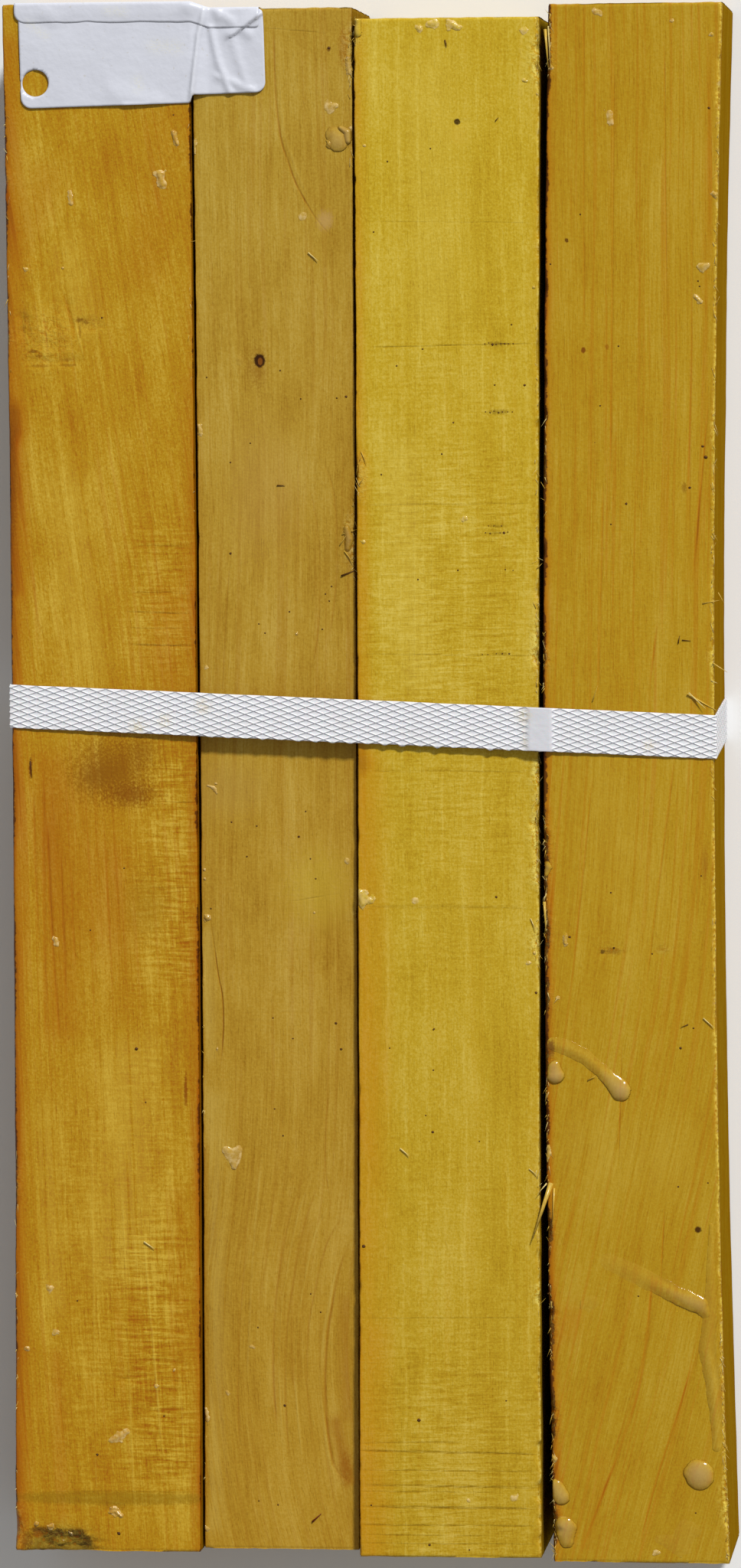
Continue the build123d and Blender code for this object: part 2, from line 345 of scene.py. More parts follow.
# For each blank: its slot; how deep its left and right arris are soaked with wax and how frayed they are;
# the seed of its noise; how high its top stands in view, and how much its two arrises are rounded and torn,
# in millimetres. Places are in pixels and depths in millimetres:
#   chips off an arris are a side, the place along it, a length and a depth
#   dents are x, y, half sizes and a depth, and tears the same with a strength
#   stains and ripples are points along them, a width and a strength, and a stain below 0 is dark
#   patches are x, y, half sizes, colour, strength and softness
#   veins run along the blank and seams across it: points or two ends, a width in millimetres, a strength
# The wood: its colours; what tints it at the foot, the middle and the head; the strengths of its bands,
# streaks, fibres, clouds, pores, speckle and threads; the drift of its grain, as place from foot to head and
# share of 50 millimetres; pitch and strength of its pale lines; kind and strength of its ripples; its coat
# of wax; and where the tree's heart lay, in millimetres from its lower left corner.
blankLooks = dict(
    blank_1=dict(
        slot="wood_amber", soaked=(1.0, 0.8), frayed=(0.25, 0.1), seed=11, top=53.0, round=(0.8, 0.45),
        torn=(0.25, 0.12),
        chips=[("left", 440, 30, 0.7), ("left", 235, 26, 0.6), ("left", 1540, 50, 0.6),
               ("left", 1995, 70, 1.6), ("right", 190, 30, 0.4)],
        dents=[(78, 2018, 44, 24, 2.0), (110, 2024, 20, 16, 1.3), (48, 2008, 14, 10, 0.8),
               (148, 1974, 10, 8, 0.8), (62, 452, 26, 10, 0.3), (30, 424, 8, 23, 0.75),
               (52, 472, 18, 7, 0.75), (89, 472, 15, 6, 0.7), (102, 426, 11, 10, 0.75),
               (68, 414, 6, 24, 0.5), (84, 402, 5, 20, 0.6), (124, 424, 12, 8, 0.5),
               (165, 1802, 60, 9, 0.18), (215, 1785, 30, 10, 0.2), (190, 1850, 50, 12, 0.15)],
        tears=[(60, 440, 46, 44, 0.45), (120, 424, 20, 16, 0.32), (80, 2010, 48, 22, 0.5),
               (150, 1974, 14, 9, 0.3), (215, 210, 20, 40, 0.22), (40, 350, 14, 14, 0.3),
               (200, 1808, 46, 8, 0.2)],
        stains=[([(14, 540), (17, 640), (19, 770)], 16, -1.3),
                ([(14, 60), (16, 400), (20, 560)], 16, -0.8),
                ([(17, 800), (20, 1330), (24, 1700), (26, 1990)], 13, -0.95),
                ([(66, 1000), (76, 1200), (84, 1340)], 24, -0.65),
                ([(252, 500), (254, 700), (256, 860)], 14, -0.5),
                ([(255, 930), (258, 1200), (259, 1500), (262, 1990)], 8, -0.6),
                ([(150, 1120), (160, 1330)], 26, -0.3), ([(110, 1040), (122, 1200)], 50, -0.4),
                ([(90, 640), (110, 860)], 30, 0.35), ([(60, 1450), (70, 1700)], 20, 0.3),
                ([(170, 1380), (160, 1640)], 44, 0.4), ([(90, 330), (110, 420)], 30, 0.3),
                ([(230, 1560), (236, 1800)], 12, -0.4), ([(215, 160), (190, 350)], 30, -0.4),
                ([(60, 230), (30, 330)], 24, -0.35), ([(74, 1770), (80, 1980)], 9, -0.6),
                ([(210, 860), (230, 900)], 26, -0.5)],
        patches=[(146, 1006, 66, 56, (132, 80, 6), 0.8, 1.0),
                 (172, 1038, 46, 20, (124, 66, 2), 0.65, 1.0),
                 # the thin dark strips near x 30 to 112, y 418 to 478, here and further down, are painted
                 # shade on the step edges of torn pits
                 (122, 1016, 34, 24, (130, 82, 10), 0.4, 1.0), (32, 418, 2.5, 18, (138, 90, 8), 0.5, 0.7),
                 (90, 477, 15, 2.5, (132, 86, 8), 0.6, 0.7), (104, 434, 2.5, 11, (132, 86, 8), 0.5, 0.7),
                 (52, 478, 16, 2.5, (136, 90, 8), 0.6, 0.7), (186, 980, 30, 26, (134, 82, 6), 0.5, 1.0),
                 (60, 1090, 36, 90, (160, 98, 6), 0.3, 1.0), (40, 1003, 2.5, 16, (96, 36, 0), 0.9, 0.7),
                 (242, 1424, 3, 24, (126, 60, 0), 0.8, 0.7),
                 (150, 1957, 170, 10, (134, 102, 12), 0.5, 0.5),
                 # the patches from here to (34, 2014) darken the broken corner at the foot: an olive hollow
                 # with dark strips under its jagged upper edge, partly the broken wood's own tone and partly
                 # painted shade and shadow
                 (78, 2022, 46, 26, (112, 88, 18), 0.92, 0.35), (52, 1998, 15, 5, (84, 46, 4), 0.8, 0.6),
                 (74, 2003, 15, 6, (58, 34, 4), 0.9, 0.6), (100, 2003, 15, 7, (62, 42, 6), 0.9, 0.6),
                 (112, 2014, 9, 10, (70, 46, 6), 0.8, 0.7), (66, 2014, 5, 12, (84, 56, 8), 0.7, 0.8),
                 (34, 2014, 9, 16, (84, 40, 2), 0.7, 0.8), (26, 1990, 14, 44, (150, 80, 2), 0.65, 1.0),
                 (16, 640, 7, 110, (118, 60, 2), 0.6, 0.9), (226, 805, 46, 66, (172, 106, 8), 0.4, 1.0),
                 # painted shade on the step edges of the torn pits: the strips from (44, 459) to (88, 470)
                 (50, 2004, 8, 6, (150, 84, 2), 0.7, 0.6), (44, 459, 6, 3, (118, 70, 4), 0.85, 0.7),
                 (51, 465, 6, 2.5, (132, 84, 6), 0.6, 0.8), (104, 418, 8, 3, (124, 76, 4), 0.75, 0.8),
                 (112, 421, 5, 3, (118, 68, 4), 0.6, 0.8), (88, 470, 10, 3, (140, 88, 6), 0.6, 0.9),
                 (190, 1185, 40, 60, (150, 110, 20), 0.35, 1.0)],
        # the first five veins, lighter and darker lines side by side, are painted highlight and shade on the
        # torn pits' step edges
        veins=[([(27, 403), (31, 425), (37, 447)], 0.5, 1.0),
               ([(32, 403), (37, 425), (44, 447)], 0.7, -0.9),
               ([(80, 380), (91, 410), (98, 446)], 0.8, -1.0),
               ([(97, 416), (101, 434), (107, 456)], 0.5, 1.3),
               ([(56, 402), (60, 440), (62, 470)], 0.5, -0.6),
               ([(62, 240), (90, 420), (108, 640)], 0.7, -0.35),
               ([(150, 300), (180, 520), (205, 760)], 0.6, -0.3), ([(35, 600), (50, 860)], 0.6, -0.3),
               ([(57, 1020), (60, 1360)], 0.8, -0.6), ([(62, 1080), (70, 1240), (78, 1350)], 0.7, -1.0),
               ([(80, 1110), (86, 1300)], 0.7, -0.8), ([(44, 1040), (50, 1220)], 0.6, -0.7),
               ([(94, 1130), (98, 1260)], 0.6, -0.6), ([(120, 1480), (126, 1960)], 0.5, 0.5),
               ([(160, 1560), (175, 1960)], 0.5, 0.55), ([(188, 1620), (212, 1900)], 0.5, 0.7),
               ([(225, 1560), (240, 1900)], 0.5, 0.5), ([(246, 1000), (250, 1500)], 0.8, -0.4),
               ([(75, 1780), (90, 1960)], 0.6, -0.35)],
        seams=[(165, 799, 253, 802, 0.5, 0.8), (168, 842, 253, 844, 0.6, 0.85),
               (160, 820, 250, 822, 0.6, 0.3), (160, 773, 253, 775, 0.8, 0.4),
               (175, 712, 250, 714, 0.8, 0.35), (150, 1800, 250, 1806, 0.5, 0.4),
               (60, 1948, 255, 1950, 0.5, 0.3), (210, 1047, 258, 1049, 0.4, 0.5),
               (200, 1160, 258, 1161, 0.6, 0.3)],
        ripples=[([(215, 720), (215, 840)], 50, 0.75), ([(225, 1010), (235, 1260)], 42, 1.0),
                 ([(190, 1120), (200, 1300)], 40, 0.5), ([(190, 1420), (200, 1600)], 60, 0.5),
                 ([(190, 1640), (215, 1900)], 62, 1.15), ([(110, 1500), (120, 1950)], 60, 0.4)],
        wood=dict(
            dark=(162, 98, 8), mid=(182, 140, 24), light=(208, 176, 66), stained=(162, 88, 0),
            raw=(218, 182, 70), foot=(0.90, 0.84, 0.6), middle=(0.93, 0.88, 0.8), head=(0.95, 0.95, 0.95),
            bands=0.34, streaks=0.36, fibre=0.38, clouds=0.66, pores=0.10, speckle=0.74, threads=0.34,
            drift=[(0, 0.85), (0.2, 0.74), (0.45, 0.66), (0.7, 0.44), (1, 0.0)],
            linePitch=7.9, lines=0.09, ripple="curl", rippleStrength=0.60, coat=0.40, coatRoughness=0.15,
            pith=(-95, 75))),
    blank_2=dict(
        slot="wood_mustard", soaked=(0.5, 0.4), frayed=(0.2, 0.5), seed=23, top=50.0, round=(0.45, 0.4),
        torn=(0.2, 0.2),
        chips=[("right", 60, 60, 0.7), ("right", 181, 22, 0.5), ("right", 715, 60, 1.5),
               ("right", 1195, 20, 0.6), ("left", 700, 20, 0.4)],
        dents=[(338, 472, 5, 5, 0.5)],
        tears=[(452, 62, 7, 34, 0.45), (455, 700, 8, 32, 0.5), (444, 738, 10, 10, 0.2)],
        stains=[([(375, 650), (380, 700)], 20, -0.2), ([(276, 1440), (276, 1990)], 16, 0.6),
                ([(270, 1220), (272, 1380)], 9, 0.6), ([(400, 1600), (385, 1800)], 8, -0.25),
                ([(370, 1620), (360, 1850)], 6, -0.25), ([(268, 1500), (267, 1990)], 5, -0.5),
                ([(448, 1700), (450, 1850)], 8, -0.5), ([(438, 1860), (446, 1900), (456, 1935)], 9, -0.8),
                ([(266, 30), (262, 500)], 8, 0.2)],
        patches=[(336, 480, 17, 34, (138, 92, 22), 0.55, 1.0), (339, 471, 7.6, 9, (50, 22, 4), 0.97, 0.3),
                 (340, 472, 3.2, 4.8, (126, 74, 20), 0.85, 0.3),
                 (425, 288, 12, 16, (186, 150, 88), 0.65, 0.8),
                 (413, 1158, 58, 66, (188, 160, 48), 0.42, 1.0),
                 (450, 1918, 12, 28, (140, 78, 8), 0.5, 1.0),
                 (436, 735, 20, 60, (150, 112, 26), 0.3, 1.0),
                 (300, 1030, 60, 50, (170, 136, 62), 0.4, 1.0),
                 (340, 640, 60, 120, (180, 142, 74), 0.25, 1.0), (430, 64, 3, 4, (104, 62, 10), 0.8, 0.6),
                 (449, 62, 8, 30, (150, 92, 10), 0.5, 0.8)],
        veins=[([(358, 40), (363, 150), (378, 215), (402, 268), (425, 300)], 0.5, -1.3),
               ([(364, 40), (369, 150), (384, 212), (407, 262)], 0.7, 0.5),
               ([(275, 1205), (284, 1270), (291, 1320), (288, 1385)], 0.32, -1.7),
               ([(300, 735), (294, 820), (290, 900)], 0.3, -1.2),
               ([(453, 1630), (436, 1690), (424, 1800), (429, 1880), (446, 1930)], 0.6, -1.1),
               ([(447, 1640), (430, 1700), (419, 1800), (425, 1880), (436, 1930)], 0.7, 0.7),
               ([(440, 1600), (412, 1680), (400, 1780), (408, 1880)], 0.5, -0.7),
               ([(426, 1580), (398, 1670), (386, 1780), (393, 1900)], 0.5, 0.6),
               ([(410, 1560), (385, 1660), (372, 1780), (376, 1900)], 0.5, -0.7),
               ([(395, 1540), (368, 1640), (356, 1760), (360, 1860)], 0.5, -0.7),
               ([(402, 1550), (376, 1650), (364, 1770), (368, 1880)], 0.5, 0.6),
               ([(360, 1500), (352, 1600), (338, 1700)], 0.5, -0.6),
               ([(340, 1520), (330, 1640), (322, 1800)], 0.5, 0.5),
               ([(330, 1500), (320, 1620), (310, 1800), (312, 1900)], 0.5, -0.6),
               ([(425, 610), (440, 700), (430, 830)], 0.5, -0.7),
               ([(430, 1570), (424, 1500), (432, 1420)], 0.4, -0.5),
               ([(405, 640), (418, 760), (404, 880)], 0.4, -0.5)],
        seams=[(345, 37, 428, 44, 0.35, 0.4), (376, 1178, 440, 1168, 0.35, 0.4)],
        ripples=[([(360, 1100), (360, 1900)], 90, 0.4)],
        wood=dict(
            dark=(148, 106, 18), mid=(175, 141, 45), light=(194, 166, 78), stained=(146, 88, 8),
            raw=(208, 182, 96), foot=(0.97, 0.88, 0.66), middle=(0.98, 0.925, 0.86),
            head=(1.0, 1.0, 1.05), bands=0.24, streaks=0.34, fibre=0.42, clouds=0.60, pores=0.08,
            speckle=0.54, threads=0.30,
            drift=[(0, 0.56), (0.08, 0.44), (0.14, 0.40), (0.26, 0.50), (0.5, 0.55), (1, 0.58)],
            linePitch=5.2, lines=0.07, ripple="curl", rippleStrength=0.10, coat=0.32, coatRoughness=0.3,
            pith=(-20, 120))),
    blank_3=dict(
        slot="wood_lemon", soaked=(0.6, 0.4), frayed=(0.3, 0.8), seed=37, top=52.5, round=(0.5, 0.6),
        torn=(0.4, 1.3),
        chips=[("right", 75, 70, 1.6), ("right", 850, 50, 1.3), ("right", 1010, 36, 1.2),
               ("right", 1090, 60, 1.8), ("right", 1140, 40, 1.4), ("right", 1230, 50, 1.2),
               ("left", 620, 36, 0.8), ("left", 40, 40, 1.4), ("right", 1690, 30, 0.7)],
        dents=[(598, 160, 4, 4, 0.4), (487, 1172, 5, 7, 0.3)],
        tears=[(694, 76, 7, 44, 0.35), (698, 840, 8, 56, 0.35), (700, 1060, 8, 90, 0.35),
               (466, 40, 8, 30, 0.6), (474, 620, 8, 34, 0.5)],
        stains=[([(520, 600), (540, 880)], 26, 0.4), ([(470, 600), (474, 1000)], 12, -0.7),
                ([(477, 1000), (484, 1500), (486, 2030)], 25, -0.8), ([(470, 30), (468, 600)], 9, -0.4),
                ([(560, 100), (566, 400)], 40, 0.25), ([(490, 1560), (494, 1720)], 12, 0.3)],
        patches=[(597, 159, 4.4, 4.4, (48, 26, 4), 0.97, 0.4),
                 (598, 176, 16, 18, (206, 172, 60), 0.4, 1.0), (650, 449, 20, 4, (110, 84, 12), 0.5, 1.0),
                 (652, 538, 20, 4, (104, 78, 10), 0.5, 1.0), (650, 687, 14, 3, (110, 84, 10), 0.4, 1.0),
                 (648, 696, 16, 3, (110, 84, 10), 0.4, 1.0), (655, 854, 14, 3, (120, 90, 10), 0.4, 1.0),
                 (582, 58, 2.5, 5, (110, 76, 8), 0.7, 0.7)],
        veins=[([(515, 60), (515, 500)], 0.5, 0.3), ([(543, 500), (541, 900)], 0.5, 0.35),
               ([(565, 560), (565, 880)], 0.4, 0.3)],
        seams=[(484, 454, 695, 449, 0.35, 0.7), (484, 290, 690, 291, 0.4, 0.3),
               (470, 660, 690, 658, 0.4, 0.35), (480, 855, 700, 857, 0.4, 0.35),
               (480, 1008, 690, 1008, 0.5, 0.35), (470, 1185, 690, 1186, 0.9, 0.35),
               (470, 1722, 690, 1722, 0.4, 0.3), (470, 1885, 600, 1884, 0.5, 0.5),
               (470, 1895, 700, 1900, 0.6, 0.9), (470, 1940, 700, 1944, 0.6, 0.85),
               (470, 1948, 640, 1950, 0.4, 0.5), (470, 1968, 700, 1971, 0.65, 0.95),
               (470, 1992, 700, 1994, 0.5, 0.6), (470, 2005, 640, 2007, 0.4, 0.4),
               (470, 1920, 700, 1923, 0.45, 0.5), (470, 2016, 700, 2018, 0.4, 0.5)],
        ripples=[([(580, 700), (580, 900)], 150, 1.0), ([(580, 470), (580, 600)], 130, 0.4),
                 ([(590, 1020), (600, 1060)], 120, 0.7), ([(590, 1200), (590, 1240)], 120, 0.4),
                 ([(590, 1560), (590, 1720)], 130, 0.35), ([(590, 1860), (590, 2010)], 140, 1.0),
                 ([(590, 150), (590, 350)], 120, 0.2)],
        wood=dict(
            dark=(162, 120, 8), mid=(192, 161, 36), light=(216, 192, 84), stained=(186, 122, 0),
            raw=(228, 208, 104), foot=(0.88, 0.83, 0.8), middle=(0.95, 0.93, 0.98),
            head=(0.98, 0.98, 1.0), bands=0.26, streaks=0.18, fibre=0.20, clouds=0.46, pores=0.05,
            speckle=0.66, threads=0.10,
            drift=[(0, 0.5), (1, 0.5)],
            linePitch=6.06, lines=0.12, ripple="saw", rippleStrength=0.50, coat=0.34, coatRoughness=0.2,
            pith=(30, 160))),
    blank_4=dict(
        slot="wood_golden", soaked=(1.9, 0.35), frayed=(0.12, 1.0), seed=53, top=53.2, round=(0.7, 0.7),
        torn=(1.0, 0.8),
        chips=[("left", 70, 60, 1.2), ("left", 600, 60, 0.6), ("left", 860, 30, 1.2),
               ("left", 1110, 70, 1.5), ("left", 1215, 60, 1.6), ("left", 1300, 40, 1.0),
               ("left", 1380, 26, 0.9), ("left", 1600, 50, 1.1), ("left", 1730, 60, 1.2),
               ("left", 1850, 60, 1.4), ("left", 1990, 46, 2.0), ("right", 130, 40, 0.25),
               ("right", 560, 60, 0.25), ("right", 860, 40, 0.4), ("right", 1360, 30, 0.25),
               ("right", 1960, 70, 0.6)],
        dents=[(797, 1241, 13, 5, 0.5), (862, 1243, 8, 4, 0.3)],
        tears=[(797, 1241, 14, 6, 0.5), (865, 1242, 9, 5, 0.35), (722, 1990, 12, 46, 0.5),
               (712, 1110, 9, 60, 0.6), (712, 1215, 9, 50, 0.6)],
        stains=[([(712, 100), (709, 700), (710, 1000)], 7, -1.0),
                ([(714, 1060), (716, 1500), (722, 1800), (730, 2010)], 7, -0.9),
                ([(780, 1500), (860, 1510)], 50, 0.35), ([(745, 1720), (735, 1740)], 18, -0.5),
                ([(780, 1000), (850, 1200)], 50, 0.2), ([(930, 60), (920, 400)], 6, -0.35),
                ([(925, 640), (900, 760)], 6, -0.3), ([(790, 1900), (770, 2020)], 8, -0.3)],
        patches=[(800, 1242, 18, 6, (134, 88, 14), 0.65, 0.9),
                 (866, 1240, 10, 6, (146, 98, 12), 0.5, 1.0), (787, 1243, 3, 3, (84, 50, 4), 0.8, 0.5),
                 (719, 1370, 6, 14, (110, 60, 4), 0.8, 0.6), (920, 1130, 6, 30, (150, 92, 20), 0.4, 0.9),
                 (894, 637, 4, 8, (120, 70, 4), 0.5, 0.7), (912, 1606, 5, 4.5, (64, 32, 2), 0.95, 0.5),
                 (762, 457, 3.4, 4.4, (120, 62, 6), 0.9, 0.5), (793, 453, 3, 3.6, (150, 92, 6), 0.7, 0.5),
                 (740, 314, 2.8, 3.2, (96, 56, 6), 0.9, 0.5)],
        veins=[([(852, 1670), (842, 1770), (814, 1880), (788, 1950), (762, 2020)], 0.7, -1.5),
               ([(848, 1740), (830, 1810), (800, 1900)], 0.4, -1.1),
               ([(902, 1790), (884, 1850), (850, 1960), (838, 2010)], 0.5, -1.2),
               ([(762, 20), (763, 420)], 0.45, -0.9), ([(803, 10), (798, 600)], 0.4, -0.8),
               ([(868, 60), (871, 420)], 0.4, -1.0), ([(906, 150), (900, 700)], 0.5, -0.8),
               ([(868, 1580), (862, 1700)], 0.35, -1.2), ([(776, 1000), (750, 1250)], 0.5, -0.8),
               ([(880, 1000), (845, 1280)], 0.5, -0.9), ([(812, 1370), (808, 1520)], 0.35, -1.2),
               ([(788, 640), (782, 900)], 0.5, -0.9), ([(858, 820), (848, 900)], 0.5, -1.0),
               ([(926, 520), (905, 760)], 0.5, -1.2), ([(888, 40), (886, 260)], 0.2, -0.5),
               ([(836, 300), (832, 560)], 0.25, -0.4), ([(775, 540), (779, 700)], 0.25, -0.5)],
        seams=[],
        ripples=[([(830, 500), (830, 900)], 120, 0.5)],
        wood=dict(
            dark=(162, 108, 8), mid=(178, 140, 26), light=(194, 162, 58), stained=(172, 100, 0),
            raw=(226, 200, 84), foot=(0.93, 0.93, 0.9), middle=(0.98, 0.98, 0.98),
            head=(0.97, 0.97, 0.98), bands=0.30, streaks=0.34, fibre=0.48, clouds=0.38, pores=0.08,
            speckle=0.52, threads=0.52,
            drift=[(0, 0.02), (0.2, 0.46), (0.35, 0.72), (0.5, 0.86), (0.62, 0.90), (1, 0.92)],
            linePitch=9.5, lines=0.05, ripple="saw", rippleStrength=0.05, coat=0.36, coatRoughness=0.22,
            pith=(120, 90))))


def readShape(node, count=24):
    # the CAD blank's sides, underside and top as smooth functions of the place along it, in millimetres
    tree = treeOf(node.data)
    low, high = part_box(node.name)
    middle = (low + high) / 2
    rows = []
    for share in np.linspace(0.04, 0.97, count):
        y = low.y + share * (high.y - low.y)
        left = tree.ray_cast(Vector((middle.x, y, middle.z)), Vector((-1, 0, 0)))[0].x
        right = tree.ray_cast(Vector((middle.x, y, middle.z)), Vector((1, 0, 0)))[0].x
        quarter = 0.25 * (right - left)
        topLeft = tree.ray_cast(Vector((left + quarter, y, middle.z)), Vector((0, 0, 1)))[0].z
        topRight = tree.ray_cast(Vector((right - quarter, y, middle.z)), Vector((0, 0, 1)))[0].z
        rise = (topRight - topLeft) / 2
        rows.append((y, left, right, topLeft - rise, topRight + rise))
    rows = np.array(rows) / mm
    sides = [np.polyfit(rows[:, 0], rows[:, k], 2) for k in (1, 2, 3, 4)]
    return low.y / mm, high.y / mm, low.z / mm, sides


def nearRun(x, y, start, end):
    # where each x, y lies along a straight run, from 0 to 1, and how far off it
    run = end - start
    share = np.clip(((x - start[0]) * run[0] + (y - start[1]) * run[1]) / max(run @ run, 1e-9), 0, 1)
    return share, np.hypot(x - start[0] - share * run[0], y - start[1] - share * run[1])


def nearPath(x, y, points, top):
    # distance in millimetres from each x, y to a line through pixels
    line = np.array([spot(px, py, top) for px, py in points])
    nearest = np.full(x.shape, 1e9)
    for start, end in zip(line[:-1], line[1:]):
        nearest = np.minimum(nearest, nearRun(x, y, start, end)[1])
    return nearest


def nearSpot(x, y, px, py, halfX, halfY, top):
    # distance from a spot at a pixel, 1 at the spot's own rim
    atX, atY = spot(px, py, top)
    return np.hypot((x - atX) / (halfX * pixel), (y - atY) / (halfY * pixel))


def sawBlank(name):
    look = blankLooks[name]
    seed = look["seed"]
    bm = bmesh.new()
    bmesh.ops.create_cube(bm, size=1.0)
    for axis, cuts in blankCuts:
        along = [edge for edge in bm.edges if abs((edge.verts[0].co - edge.verts[1].co)[axis]) > 0.9]
        bmesh.ops.subdivide_edges(bm, edges=along, cuts=cuts, use_grid_fill=True)
    mesh = newMesh(bm, name + "_wood")
    cube = readPoints(mesh) + 0.5
    s, t, v = crowd(cube[:, 0], 0.78), crowd(cube[:, 1], 0.35), crowd(cube[:, 2], 0.8)

    foot, head, seat, sides = readShape(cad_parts[name])
    y = foot + t * (head - foot)
    left, right, topLeft, topRight = (np.polyval(side, y) for side in sides)
    width = right - left
    ceiling = topLeft + s * (topRight - topLeft)
    height = ceiling - seat

    # rounding of the four long arrises, wandering and knocked here and there
    def rounding(draw, radius, torn):
        wander = 0.3 * lineNoise(y / 9, seed + draw, 3) + 0.2 * lineNoise(y / 2.6, seed + draw + 1)
        swell = 1.2 + lineNoise(y / 30, seed + draw)
        rough = torn * np.maximum(0, lineNoise(y / 3.1, seed + draw + 2, 7)) * swell
        rough += 0.5 * torn * np.maximum(0, lineNoise(y / 1.3, seed + draw + 3, 9))
        return np.clip(radius * (1 + wander) + rough, 0.25, None)
    arris = dict(left=rounding(1, look["round"][0], look["torn"][0]),
                 right=rounding(5, look["round"][1], look["torn"][1]))
    torn = dict(left=np.zeros(len(y)), right=np.zeros(len(y)))
    edgeX = dict(left=left, right=right)
    for side, py, length, depth in look["chips"]:
        px = view["width"] / 2 + (edgeX[side].mean() - 1.2) / pixel
        middle = spot(px, py, look["top"])[1]
        shape = np.exp(-(np.abs(y - middle) / (0.5 * length * pixel)) ** 3)
        ragged = 0.65 + 0.5 * lineNoise(y / 1.9, seed + py, 5)
        arris[side] = arris[side] + 1.5 * depth * shape * ragged
        torn[side] = np.maximum(torn[side], shape * min(1.0, depth))
    lowRound = 0.9 + 0.3 * lineNoise(y / 7, seed + 9)

    # each point of the section keeps its place on the flats and slides round the arrises
    fromLeft, fromRight, fromTop, fromSeat = s * width, (1 - s) * width, (1 - v) * height, v * height
    inLeft = fromLeft < fromRight
    radius = np.where(fromTop < fromSeat, np.where(inLeft, arris["left"], arris["right"]), lowRound)
    radius = np.minimum(radius, 0.2 * width)
    a = 1 - np.minimum(fromLeft, fromRight) / radius
    b = 1 - np.minimum(fromTop, fromSeat) / radius
    corner = (a > 0) & (b > 0)
    most = np.maximum(np.maximum(a, b), 1e-9)
    angle = np.where(a >= b, b / most, 2 - a / most) * math.pi / 4
    pushX = np.where(corner, radius * (1 - most * np.cos(angle)), np.minimum(fromLeft, fromRight))
    pushZ = np.where(corner, radius * (1 - most * np.sin(angle)), np.minimum(fromTop, fromSeat))
    x = np.where(inLeft, left + pushX, right - pushX)
    z = np.where(fromTop < fromSeat, ceiling - pushZ, seat + pushZ)

    # slow waves of the sawn faces, always inwards
    onTop = cube[:, 2] > 0.999
    onSide = (cube[:, 0] < 0.001) | (cube[:, 0] > 0.999)
    hollow = 0.07 * (1 + softNoise(x / 14, y / 40, seed + 20))
    hollow += 0.03 * (1 + softNoise(x / 5, y / 9, seed + 21))
    z -= np.where(onTop, hollow, 0)
    sway = 0.10 * (1 + softNoise(y / 22, z / 20, seed + 22))
    sway += 0.04 * (1 + softNoise(y / 5, z / 6, seed + 23))
    x += np.where(onSide, np.where(inLeft, sway, -sway), 0)
    for px, py, halfX, halfY, depth in look["dents"]:
        away = nearSpot(x, y, px, py, halfX, halfY, look["top"])
        uneven = 0.75 + 0.45 * softNoise(x / 1.3, y / 1.1, seed + py)
        uneven += 0.3 * softNoise(x / 0.7, y / 0.7, seed + px)
        z -= np.where(z > look["top"] - 12, depth * np.exp(-away ** 3) * uneven, 0)

    # sawn ends, slightly rough, with their own small arrises
    onFoot, onHead = t < 1e-6, t > 1 - 1e-6
    inward = 0.12 * (1 + softNoise(x / 1.7, z / 1.7, seed + 30))
    y = y + np.where(onFoot, inward, 0) - np.where(onHead, inward, 0)
    atLeft, atRight, atTop, atSeat = (part < 0.01 for part in (fromLeft, fromRight, fromTop, fromSeat))
    rim = (onFoot | onHead) & (atLeft | atRight | atTop | atSeat)
    x += np.where(rim, np.where(atLeft, 0.3, 0) - np.where(atRight, 0.3, 0), 0)
    z += np.where(rim, np.where(atSeat, 0.3, 0) - np.where(atTop, 0.3, 0), 0)
    writePoints(mesh, np.column_stack((x, y, z)) * mm)
    markBlank(mesh, look, x, y, inLeft, np.where(inLeft, fromLeft, fromRight), fromTop,
              np.where(inLeft, torn["left"], torn["right"]))
    return newPiece(mesh, name + "_wood")


def markBlank(mesh, look, x, y, inLeft, reach, fromTop, hurt):
    # what the material is told: soaked, frayed or torn arrises, stains and ripples
    close = np.exp(-np.minimum(np.maximum(reach, fromTop), 30) / (0.9 + 1.3 * hurt))
    writeAttribute(mesh, "edge", close * (0.55 + 0.45 * hurt) * np.where(inLeft, *look["frayed"]))
    soaked = np.exp(-np.minimum(reach, 30) / 1.1) * np.exp(-np.minimum(fromTop, 30) / 4)
    soaked *= 1 + 0.6 * lineNoise(y / 11, look["seed"] + 40)
    writeAttribute(mesh, "soaked", soaked * np.where(inLeft, *look["soaked"]))
    writeAttribute(mesh, "pale", np.where(inLeft, *look["frayed"]))
    hurt = hurt * np.exp(-np.maximum(reach, fromTop) / 2.2)
    for px, py, halfX, halfY, strength in look["tears"]:
        away = nearSpot(x, y, px, py, halfX, halfY, look["top"])
        hurt = np.maximum(hurt, strength * np.exp(-away ** 3 - fromTop / 4))
    writeAttribute(mesh, "hurt", hurt)
    stain, ripple = np.zeros(len(x)), np.zeros(len(x))
    for points, wide, strength in look["stains"]:
        away = nearPath(x, y, points, look["top"]) / (wide * pixel)
        stain += strength * np.exp(-away ** 2) * np.exp(-fromTop / 6)
    for points, wide, strength in look["ripples"]:
        away = nearPath(x, y, points, look["top"]) / (wide * pixel)
        ripple = np.maximum(ripple, strength * np.exp(-away ** 2) * np.exp(-fromTop / 20))
    writeAttribute(mesh, "stain", stain)
    writeAttribute(mesh, "ripple", ripple)


def tone(red, green, blue):
    # a colour as read off a screen, 0 to 255, as Blender's own linear colour
    return tuple(((level / 255 + 0.055) / 1.055) ** 2.4 for level in (red, green, blue))


